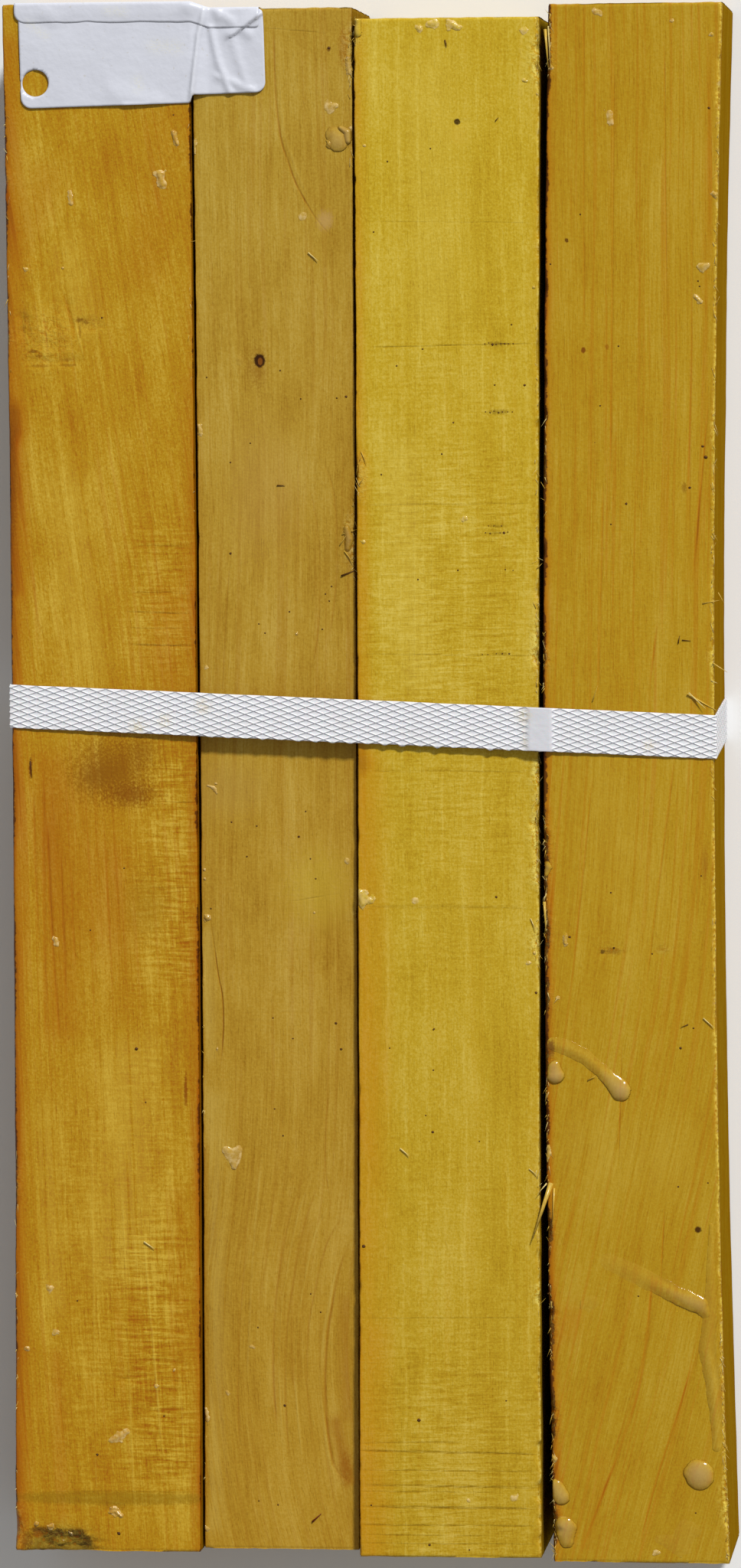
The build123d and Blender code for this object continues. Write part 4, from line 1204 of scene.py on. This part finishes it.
def foldEndTag():
    look = tagLook
    bm = bmesh.new()
    roundedGrid(bm, look["width"], look["height"], look["corner"], look["stripCorner"])
    mesh = newMesh(bm, "endTag")
    flat = readPoints(mesh)
    low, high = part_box("end_tag")
    topAt, backAt = seatsOf("end_tag")
    stations = np.linspace(low.x / mm + 3.6, high.x / mm - 3.6, 60)
    tops = np.array([topAt(x, high.y / mm - 4.6) for x in stations])
    backs = np.array([backAt(x, high.z / mm - 9.0) for x in stations])
    x = low.x / mm + flat[:, 0]
    top, back = np.interp(x, stations, tops), np.interp(x, stations, backs) - 0.05
    # along the tag from the strip's edge: flat on top, round the fold, then down over the heads
    along, bend = flat[:, 1], look["bend"]
    onTop = look["strip"] - bend
    arc = bend * math.pi / 2
    angle = np.clip((along - onTop) / bend, 0, math.pi / 2)
    down = np.maximum(along - onTop - arc, 0)
    y = back - bend - (onTop - np.minimum(along, onTop)) + bend * np.sin(angle)
    z = top - bend * (1 - np.cos(angle)) - down
    rise = lowRelief(x, y) * np.clip(1 - down / 10, 0, 1)
    z += rise * np.where(along < onTop + arc, 1.0, 0.0) * np.clip((onTop + arc - along) / 1.5, 0.4, 1)
    # the fold's edge line wanders, the strip sinks towards its edge, and nothing rises above 54.4 millimetres
    wander = 0.25 * (lineNoise(x / 8, 83) + 0.5 * lineNoise(x / 3, 84))
    y -= np.where(along < 1.0, wander, 0) * (1 - along)
    z = np.minimum(z - 0.24 * np.clip(1 - along / 2.5, 0, 1), 54.4)
    writePoints(mesh, np.column_stack((x, y, z)) * mm)
    return mesh


def makeTagPlastic():
    plastic = Surface("white_tag_plastic")
    place = plastic.place()
    cloud = plastic.noise(place, 0.09, 3.0, 0.55)
    worn = plastic.range(cloud, 0.4, 0.75, 0.0, 0.35)
    color = plastic.mixColor(worn, tone(*tagLook["color"]), tone(*tagLook["worn"]))
    grit = plastic.range(plastic.noise(plastic.stretch(place, 1, 2.2, 1), 1.3, 3.0), 0.42, 0.6)
    scuff = plastic.times(plastic.attribute("scuff"), grit)
    color = plastic.mixColor(plastic.times(scuff, 0.6), color, tone(*tagLook["crumb"]))
    # a painted highlight along the crest of the first creases
    foldHighlight = plastic.times(plastic.attribute("foldHighlight"), 0.25)
    color = plastic.mixColor(foldHighlight, color, tone(*tagLook["foldHighlightColor"]))
    specks = plastic.range(plastic.noise(place, 0.8, 1.0), 0.72, 0.76, 0.0, 0.35)
    color = plastic.mixColor(specks, color, tone(*tagLook["speckColor"]))
    ripple = plastic.addScaled(plastic.noise(place, 0.5, 2.0), 0.35, cloud)
    normal = plastic.bump(ripple, 0.5, 0.0006)
    roughness = plastic.range(cloud, 0.3, 0.7, 0.28, 0.42)
    return plastic.set(color=color, roughness=roughness, specular=0.45, normal=normal)


def finishTag(mesh, name, node, plastic):
    x, y, z = (readPoints(mesh) / mm).T
    scuff, foldHighlight = np.zeros(len(x)), np.zeros(len(x))
    for start, end, wide in tagLook["scuffs"]:
        away = nearPath(x, y, (start, end), tagLook["stripLevel"]) / wide
        scuff = np.maximum(scuff, np.exp(-away ** 2))
    # where the painted highlight along the fold goes
    for start, end, wide, high in tagLook["creases"][:tagLook["highlightedCreases"]]:
        away = nearPath(x, y, (start, end), tagLook["level"]) / 0.5
        foldHighlight = np.maximum(foldHighlight, np.exp(-away ** 2))
    writeAttribute(mesh, "scuff", scuff)
    writeAttribute(mesh, "foldHighlight", foldHighlight)
    bm = bmesh.new()
    bm.from_mesh(mesh)
    bmesh.ops.recalc_face_normals(bm, faces=bm.faces)
    if sum(face.normal.z for face in bm.faces) < 0:
        bmesh.ops.reverse_faces(bm, faces=bm.faces)
    bmesh.ops.solidify(bm, geom=bm.faces[:], thickness=tagLook["thickness"] * mm)
    bm.to_mesh(mesh)
    bm.free()
    mesh.materials.append(plastic)
    paintNode(node, plastic)
    finishPiece(newPiece(mesh, name), tagLook["slot"], node)
    print(name, "laid:", len(mesh.polygons), "faces")


tagPlastic = makeTagPlastic()
finishTag(layFaceTag(), "faceTag", "face_tag", tagPlastic)
finishTag(foldEndTag(), "endTag", "end_tag", tagPlastic)


# wax on the wood: drips, drops and flakes

# The tones of thick wax, of a thick drop's thin rim, partly the wax's own and partly painted shade, and of
# whitish flakes, and each blank's pours: lines of x, y and half width in pixels and height in millimetres.
# Pours of middling height and few points break up into flakes.
waxLook = dict(
    drop=(176, 144, 84), rim=(112, 72, 16), flake=(216, 188, 128), coatRoughness=0.12,
    blank_1=[[(226, 173, 4, 0.6), (231, 188, 3, 0.5)], [(208, 227, 6, 0.6), (211, 241, 5, 0.5)],
             [(91, 250, 3, 0.3), (93, 266, 3, 0.3)],
             [(146, 1881, 4, 0.3), (156, 1876, 6, 0.35), (166, 1870, 4, 0.3)],
             [(72, 1226, 4, 0.3), (74, 1234, 3, 0.25)], [(34, 352, 3, 0.35)], [(82, 350, 2, 0.3)],
             [(72, 1740, 4, 0.3)], [(66, 1683, 5, 0.35)], [(48, 1990, 3, 0.6)], [(66, 1994, 4, 0.6)],
             [(92, 2004, 3, 0.5)], [(148, 1972, 5, 0.7), (158, 1980, 3, 0.6)], [(36, 1761, 3, 0.4)],
             [(20, 1690, 3, 0.4)], [(227, 1790, 2, 0.25)], [(204, 1811, 3, 0.25)], [(148, 12, 5, 0.15)]],
    blank_2=[[(437, 177, 10, 0.8), (442, 184, 12, 0.95)],
             [(445, 167, 3, 0.9), (454, 173, 5, 1.15), (455, 184, 4, 1.0)], [(430, 188, 4, 0.75)],
             [(431, 140, 8, 0.3), (440, 138, 4, 0.25)], [(254, 186, 4, 0.6), (253, 199, 3, 0.6)],
             [(295, 1503, 6, 0.35), (302, 1510, 9, 0.3), (310, 1503, 6, 0.35), (305, 1517, 7, 0.3),
              (305, 1525, 4, 0.4)], [(271, 1026, 1.5, 0.2), (279, 1029, 2.5, 0.3), (283, 1036, 1.5, 0.2)],
             [(282, 1024, 1.5, 0.2)], [(260, 556, 3, 0.4), (261, 566, 3, 0.4)], [(270, 1199, 4, 0.7)],
             [(266, 1136, 2, 0.4)], [(267, 1148, 2, 0.4)],
             [(453, 690, 4, 0.7), (456, 704, 5, 0.9), (454, 716, 4, 0.6)],
             [(268, 1842, 3, 0.3), (270, 1856, 3, 0.3)], [(268, 1998, 4, 0.4)], [(387, 828, 2, 0.3)],
             [(269, 872, 3, 0.2)], [(410, 1192, 1.6, 0.3)], [(283, 1370, 2, 0.3)], [(296, 1820, 3, 0.2)],
             [(328, 1760, 3, 0.15)], [(458, 168, 3, 0.5)], [(395, 283, 6, 0.2)], [(312, 470, 5, 0.12)],
             [(455, 75, 3, 0.5), (456, 95, 3, 0.4)], [(453, 1125, 4, 0.3)]],
    blank_3=[[(471, 1168, 7, 0.7), (473, 1180, 6, 0.6)], [(484, 1176, 5, 0.4)], [(543, 1176, 5, 0.2)],
             [(463, 20, 7, 0.9), (467, 44, 5, 0.7)], [(548, 38, 5, 0.4)],
             [(560, 31, 4, 0.4), (568, 30, 5, 0.35)], [(590, 31, 7, 0.4), (598, 36, 5, 0.4)],
             [(685, 105, 3, 0.4)], [(607, 677, 4, 0.3)], [(684, 40, 5, 0.3)], [(697, 375, 2, 0.4)],
             [(612, 1960, 3, 0.15)], [(672, 1957, 5, 0.2)], [(698, 1245, 2.5, 0.4)],
             [(475, 708, 3, 0.35)], [(690, 1258, 3, 0.3)], [(476, 190, 2, 0.3)]],
    blank_4=[[(724, 1364, 9, 0.3), (742, 1369, 10, 0.38), (764, 1380, 9, 0.42), (784, 1397, 9, 0.5),
              (800, 1413, 10, 0.95), (811, 1424, 12, 1.4)], [(724, 1394, 8, 1.1), (726, 1405, 10, 1.4)],
             [(795, 1648, 12, 0.10), (835, 1666, 12, 0.22), (864, 1681, 11, 0.45), (890, 1694, 11, 0.75),
              (914, 1704, 11, 0.95), (925, 1716, 9, 0.45)],
             [(929, 1600, 3, 0.12), (928, 1716, 8, 0.35), (924, 1765, 10, 0.5), (931, 1805, 9, 0.5),
              (935, 1840, 8, 0.45), (937, 1890, 6, 0.25)], [(914, 1925, 17, 1.45)],
             [(726, 1943, 10, 1.0), (734, 1955, 10, 1.1)], [(738, 1996, 13, 1.2), (740, 2012, 9, 0.8)],
             [(774, 1700, 12, 0.12)], [(713, 1133, 7, 0.9), (712, 1140, 5, 0.7)],
             [(796, 148, 5, 0.25), (798, 160, 4, 0.25)], [(934, 254, 4, 0.6)],
             [(917, 349, 7, 0.4), (924, 346, 4, 0.35)], [(909, 388, 4, 0.4), (915, 394, 3, 0.4)],
             [(930, 45, 3, 0.4)], [(776, 14, 4, 0.25), (784, 18, 3, 0.2)], [(720, 88, 3, 0.4)],
             [(738, 1222, 3, 0.4), (738, 1232, 3, 0.5)], [(878, 27, 3, 0.2)],
             [(716, 1500, 4, 0.5), (714, 1516, 3, 0.4)], [(728, 1304, 2.5, 0.3)],
             [(862, 2010, 9, 0.05), (888, 2016, 14, 0.12), (900, 1998, 14, 0.12)], [(724, 1905, 4, 0.6)],
             [(858, 2028, 4, 0.2)]])


def withinBox(points):
    # nothing stands proud of the CAD's own box
    low, high = (np.array(corner) for corner in cadBox)
    return np.clip(points, low + 0.02 * mm, high - 0.02 * mm)


def surfaceUnder(tree, x, y):
    hit = tree.ray_cast(Vector((x, y, 80)) * mm, Vector((0, 0, -1)))[0]
    return hit.z / mm if hit else None


def pourHeights(pour, line, x, y):
    # how far a pour rises at each x, y, and the height of the knot that it rises to there
    rise, crown = np.full(len(x), -0.1), np.zeros(len(x))
    size, tall = max(0.7, line[:, 2].max()), line[:, 3].max()
    wobble = softNoise(x / size, y / size, 91) + 0.4 * softNoise(x / (0.4 * size), y / (0.4 * size), 92)
    wobble *= 0.10 if tall > 0.8 or len(pour) > 4 else 0.40
    for start, end in zip(line[:-1], line[1:]):
        share, away = nearRun(x, y, start[:2], end[:2])
        half = start[2] + share * (end[2] - start[2])
        high = start[3] + share * (end[3] - start[3])
        away = away / half * (1 + wobble)
        out = np.clip(away / 1.2, 0, 1)
        dome, bell = (1 - out * out) ** 0.75, np.cos(0.5 * math.pi * out) ** 1.7
        rounded = np.clip((high - 0.5) / 0.5, 0, 1)
        poured = np.where(away < 1.2, high * (dome * rounded + bell * (1 - rounded)), -0.1)
        crown = np.where(poured > rise, high, crown)
        rise = np.maximum(rise, poured)
    return rise, crown


def pourWax(name, tree):
    look = blankLooks[name]
    whole = bmesh.new()
    thick, frost, standing = [], [], []
    for pour in waxLook[name]:
        line = []
        for px, py, half, high in pour:
            line.append((*spot(px, py, look["top"]), half * pixel, high))
        line = np.array(line + line[-1:] if len(line) > 1 else line * 2)
        margin = line[:, 2].max() * 1.25 + 0.3
        lowX, lowY = line[:, 0].min() - margin, line[:, 1].min() - margin
        spanX, spanY = line[:, 0].max() + margin - lowX, line[:, 1].max() + margin - lowY
        step = 0.16 if margin < 2.2 else 0.28
        columns, rows = (max(6, round(span / step)) for span in (spanX, spanY))
        bm = bmesh.new()
        bmesh.ops.create_grid(bm, x_segments=columns, y_segments=rows, size=0.5)
        bm.verts.ensure_lookup_table()
        x = np.array([v.co.x + 0.5 for v in bm.verts]) * spanX + lowX
        y = np.array([v.co.y + 0.5 for v in bm.verts]) * spanY + lowY
        drop, heights = [], {}
        for vertex, px, py, up, full in zip(bm.verts, x, y, *pourHeights(pour, line, x, y)):
            ground = surfaceUnder(tree, px, py)
            if ground is None or up < 0 or ground < look["top"] - 2.4:
                drop.append(vertex)
            else:
                vertex.co = Vector((px, py, ground + up - 0.02)) * mm
                heights[vertex] = (up, full)
        bmesh.ops.delete(bm, geom=drop, context="VERTS")
        if not bm.faces:
            bm.free()
            continue
        # a short skirt and a closed underside, let into the wood
        tall = [heights[vertex] for vertex in bm.verts]
        rim = [edge for edge in bm.edges if edge.is_boundary]
        made = bmesh.ops.extrude_edge_only(bm, edges=rim)["geom"]
        skirt = [v for v in made if isinstance(v, bmesh.types.BMVert)]
        for vertex in skirt:
            vertex.co.z -= 0.3 * mm
        tall += [(0.0, 0.0)] * len(skirt)
        bmesh.ops.holes_fill(bm, edges=[edge for edge in bm.edges if edge.is_boundary])
        bmesh.ops.recalc_face_normals(bm, faces=bm.faces)
        part = newMesh(bm, "pour")
        whole.from_mesh(part)
        bpy.data.meshes.remove(part)
        flaky = 0.13 < max(knot[3] for knot in pour) < 0.75 and len(pour) < 6
        thick += [min(1.0, up / 1.6) for up, full in tall]
        # standing drops get the darker rim, partly painted shade
        standing += [0.0 if flaky else min(1.0, max(0.0, (full - 0.25) / 0.4)) for up, full in tall]
        frost += [0.75 if flaky else 0.0] * len(tall)
    mesh = newMesh(whole, name + "_wax")
    writeAttribute(mesh, "thick", thick)
    writeAttribute(mesh, "frost", frost)
    writeAttribute(mesh, "standing", standing)
    writePoints(mesh, withinBox(readPoints(mesh)))
    mesh.materials.append(makeWood(name, poured=True))
    finishPiece(newPiece(mesh, name + "_wax"), look["slot"])
    print(name, "waxed:", len(mesh.polygons), "faces")


# splinters, torn fibres and specks

# Splinters are two ends and a width in pixels, how far they stand up in millimetres, and their tone.
# Specks are places and half sizes in pixels. Frays are stretches of an arris that shed fibres: side, ends
# along it, how many.
splinterLook = dict(
    straw=(214, 176, 66), pale=(226, 204, 128), bark=(92, 54, 8), seed=(116, 40, 8),
    blank_1=dict(
        splinters=[((188, 1622), (202, 1631), 4, 0.5, "pale"), ((40, 994), (42, 1016), 3, 0.05, "bark"),
                   ((20, 1262), (22, 1270), 4, 0.2, "bark")],
        specks=[(178, 1370, 4), (127, 1900, 3), (155, 2003, 4), (162, 1134, 2), (118, 1215, 2),
                (190, 1440, 2), (133, 415, 2), (226, 150, 2), (101, 1699, 2), (214, 1850, 2)],
        frays=[("left", 60, 500, 16), ("left", 1500, 2000, 20), ("right", 150, 700, 10)]),
    blank_2=dict(
        splinters=[((403, 330), (416, 341), 4, 0.5, "pale"), ((362, 634), (373, 634), 3, 0.2, "bark"),
                   ((407, 1989), (419, 1978), 5, 0.3, "seed"), ((447, 698), (470, 690), 3, 0.8, "straw"),
                   ((450, 720), (462, 735), 3, 0.8, "straw"), ((446, 752), (466, 744), 5, 0.6, "bark"),
                   ((444, 712), (452, 700), 3, 0.6, "straw")],
        specks=[(302, 1074, 2), (335, 1079, 2), (322, 1119, 2), (390, 1093, 3), (399, 1060, 2),
                (412, 1148, 2), (405, 1122, 2), (275, 1187, 2), (438, 1337, 3), (445, 1371, 3),
                (356, 1330, 2), (382, 1357, 2), (358, 1449, 2), (301, 723, 3), (301, 604, 2),
                (327, 579, 2), (338, 815, 2), (346, 827, 2), (378, 799, 2), (366, 484, 2), (270, 493, 2),
                (371, 1837, 3), (336, 1735, 2), (337, 1962, 2), (362, 1967, 2), (405, 1691, 2),
                (418, 1715, 2), (430, 63, 3), (452, 518, 3), (393, 521, 2), (440, 520, 2), (369, 1484, 2),
                (425, 776, 2), (433, 766, 2), (430, 785, 2), (421, 822, 2)],
        frays=[("right", 40, 130, 18), ("right", 640, 760, 22), ("right", 150, 240, 8),
               ("left", 1150, 1500, 10), ("left", 1850, 2000, 6)]),
    blank_3=dict(
        splinters=[((523, 1500), (535, 1510), 4, 0.5, "pale"),
                   ((691, 1527), (703, 1536), 2.5, 0.6, "pale"),
                   ((693, 1200), (700, 1215), 3, 0.7, "pale"), ((581, 52), (583, 62), 3, 0.1, "bark"),
                   ((647, 158), (651, 153), 3, 0.1, "bark"), ((472, 590), (479, 606), 2.5, 0.4, "straw"),
                   ((470, 632), (476, 622), 2.5, 0.4, "straw")],
        specks=[(562, 194, 2), (506, 211, 2), (475, 1628, 4), (566, 1345, 2), (509, 1369, 2),
                (566, 1398, 2), (556, 1457, 2), (565, 1479, 3), (626, 1491, 2), (700, 1297, 3),
                (648, 1172, 3), (567, 1344, 2), (547, 1855, 4), (661, 1830, 2), (561, 2018, 3),
                (485, 1966, 2), (488, 303, 2), (552, 456, 2), (646, 503, 2), (685, 503, 3), (643, 450, 3),
                (659, 449, 2), (668, 424, 2), (518, 478, 2), (592, 552, 2), (577, 593, 2), (658, 696, 3),
                (665, 854, 2), (598, 745, 2), (546, 757, 2), (498, 620, 2), (613, 2025, 2),
                (633, 449, 1.4), (638, 448, 1.4), (648, 450, 1.8), (654, 449, 1.6), (664, 449, 1.4),
                (670, 449, 1.6), (634, 538, 1.6), (640, 539, 1.8), (645, 537, 1.5), (651, 539, 2.2),
                (656, 538, 1.8), (663, 538, 1.6), (669, 538, 1.5), (638, 687, 1.4), (645, 687, 1.5),
                (655, 687, 1.5), (634, 696, 1.6), (640, 697, 1.8), (653, 696, 1.5), (663, 695, 1.4),
                (630, 855, 1.4), (637, 855, 1.4), (648, 854, 1.4), (656, 854, 1.8), (660, 744, 1.6),
                (670, 745, 1.4)],
        frays=[("right", 25, 125, 26), ("right", 780, 905, 40), ("right", 980, 1160, 55),
               ("right", 1190, 1260, 18), ("right", 430, 760, 24), ("right", 1500, 1720, 12),
               ("left", 15, 70, 12), ("left", 580, 660, 10)]),
    blank_4=dict(
        splinters=[((720, 1545), (696, 1618), 13, 0.9, "straw"),
                   ((724, 1552), (722, 1596), 6, 0.5, "straw"),
                   ((714, 1546), (702, 1560), 4, 0.7, "pale"), ((898, 906), (936, 928), 6, 0.9, "straw"),
                   ((900, 905), (922, 925), 4, 1.4, "pale"), ((931, 866), (950, 878), 4, 0.9, "straw"),
                   ((918, 788), (940, 784), 3, 0.8, "straw"), ((938, 774), (946, 788), 2, 0.5, "straw"),
                   ((886, 840), (888, 830), 3.5, 0.1, "bark"), ((891, 836), (903, 837), 2.5, 0.1, "bark"),
                   ((919, 1330), (933, 1342), 3.5, 0.6, "pale"),
                   ((768, 1411), (778, 1405), 3, 0.6, "straw"), ((774, 916), (781, 895), 3, 0.2, "straw"),
                   ((728, 1304), (724, 1310), 2, 0.3, "pale"),
                   ((711, 1178), (713, 1216), 8, 0.8, "straw"), ((712, 38), (716, 88), 8, 0.6, "straw"),
                   ((716, 34), (719, 86), 4, 0.8, "pale"), ((899, 1338), (889, 1342), 2.5, 0.2, "bark")],
        specks=[(918, 583, 3), (922, 597, 4), (901, 637, 3), (818, 658, 3), (889, 1369, 3), (784, 530, 2),
                (798, 685, 2), (926, 141, 3), (777, 578, 1), (914, 374, 2), (912, 367, 2), (719, 345, 2),
                (716, 1690, 2), (834, 1693, 2), (886, 1550, 2), (925, 1545, 2), (744, 1224, 3),
                (802, 1238, 2), (852, 1246, 2), (808, 452, 2), (893, 2017, 2), (909, 1976, 2),
                (906, 1343, 2), (798, 1166, 2), (758, 280, 2), (916, 1144, 2)],
        frays=[("left", 20, 100, 24), ("left", 540, 700, 14), ("left", 820, 900, 16),
               ("left", 1050, 1320, 50), ("left", 1400, 1560, 26), ("left", 1600, 1800, 30),
               ("left", 1840, 2040, 60), ("right", 150, 420, 40), ("right", 480, 900, 60),
               ("right", 1000, 1300, 18), ("right", 1740, 2040, 90)]))


def makeStraw(name, color, coat):
    straw = Surface(name)
    place = straw.place()
    strands = straw.noise(straw.stretch(place, 3.0, 0.35, 3.0), 1.4, 2.0)
    darker = tuple(level * 0.55 for level in tone(*color))
    shade = straw.mixColor(straw.range(strands, 0.38, 0.62, 0.75, 0.0), tone(*color), darker)
    normal = straw.bump(strands, 0.5, 0.0001)
    return straw.set(color=shade, roughness=0.5, normal=normal, coat=coat, coatRoughness=0.2, specular=0.25)


def addSliver(bm, start, end, wide, high, material, segments):
    # a thin wedge of wood from one point to another, flattened, thick near its root and pointed at its tip
    run = end - start
    made = bmesh.ops.create_cone(bm, cap_ends=True, cap_tris=False, segments=segments, radius1=0.5 * wide,
                                 radius2=0.10 * wide, depth=run.length)["verts"]
    turn = run.to_track_quat("Z", "X").to_matrix().to_4x4()
    bmesh.ops.scale(bm, verts=made, vec=(1, high, 1))
    bmesh.ops.transform(bm, matrix=Matrix.Translation((start + end) / 2) @ turn, verts=made)
    paintFaces(made, material)


def paintFaces(vertices, material):
    for face in {face for vertex in vertices for face in vertex.link_faces}:
        face.material_index = material


def scatterSplinters(name, tree, fibres):
    # fibres holds each tone's material, in the order of the piece's materials
    look, blank = splinterLook[name], blankLooks[name]
    order = list(fibres)
    chance = np.random.default_rng(blank["seed"] + 100)
    bm = bmesh.new()
    foot, head, seat, sides = readShape(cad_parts[name])

    def seated(px, py, lift):
        x, y = spot(px, py, blank["top"])
        ground = surfaceUnder(tree, x, y)
        if ground is None or ground < blank["top"] - 6:
            ground = blank["top"] - 0.8
        return Vector((x, y, ground + lift)) * mm

    for start, end, wide, stands, kind in look["splinters"]:
        low, tip = seated(*start, 0.1), seated(*end, 0.1 + stands)
        addSliver(bm, low, tip, wide * pixel * mm, 0.55, order.index(kind), 7)
    for px, py, half in look["specks"]:
        middle = seated(px, py, 0.0)
        made = bmesh.ops.create_icosphere(bm, subdivisions=1, radius=half * pixel * 0.7 * mm)["verts"]
        for vertex in made:
            vertex.co *= 1 + 0.35 * (chance.random() - 0.5)
        bmesh.ops.scale(bm, verts=made, vec=(1.0, 0.9, 0.22))
        bmesh.ops.translate(bm, verts=made, vec=middle)
        paintFaces(made, order.index("bark"))
    for side, start, end, count in look["frays"]:
        for _ in range(count):
            py = start + (end - start) * chance.random()
            y = spot(view["width"] / 2, py, blank["top"])[1]
            y = min(max(y, foot + 2.5), head - 2.5)
            left, right = np.polyval(sides[0], y), np.polyval(sides[1], y)
            inward = 1 if side == "left" else -1
            x = (left if side == "left" else right) + inward * (0.25 + 0.9 * chance.random())
            ground = surfaceUnder(tree, x, y)
            if ground is None or ground < blank["top"] - 6:
                continue
            long, lean = 0.7 + 2.3 * chance.random() ** 2, chance.normal(0, 0.35)
            stands = 0.05 + 0.35 * chance.random()
            way = 1 if chance.random() < 0.7 else -1
            root = Vector((x, y, ground + 0.02)) * mm
            tipX = x - inward * 0.5 * chance.random() + long * math.sin(lean)
            tipY = y - way * long * math.cos(lean)
            tip = Vector((tipX, tipY, ground + stands)) * mm
            wide = (0.16 + 0.3 * chance.random()) * mm
            kind = "pale" if chance.random() < 0.45 else "straw"
            addSliver(bm, root, tip, wide, 0.6, order.index(kind), 4)
    mesh = newMesh(bm, name + "_splinters")
    writePoints(mesh, withinBox(readPoints(mesh)))
    for fibre in fibres.values():
        mesh.materials.append(fibre)
    finishPiece(newPiece(mesh, name + "_splinters"), blank["slot"])
    print(name, "splintered:", len(mesh.polygons), "faces")


fibres = dict(straw=makeStraw("straw_fibre", splinterLook["straw"], 0.4),
              pale=makeStraw("pale_fibre", splinterLook["pale"], 0.4),
              bark=makeStraw("dark_bark", splinterLook["bark"], 0.0),
              seed=makeStraw("red_seed", splinterLook["seed"], 0.0))
for name, blank in blankPieces.items():
    tree = treeOf(blank.data)
    pourWax(name, tree)
    scatterSplinters(name, tree, fibres)
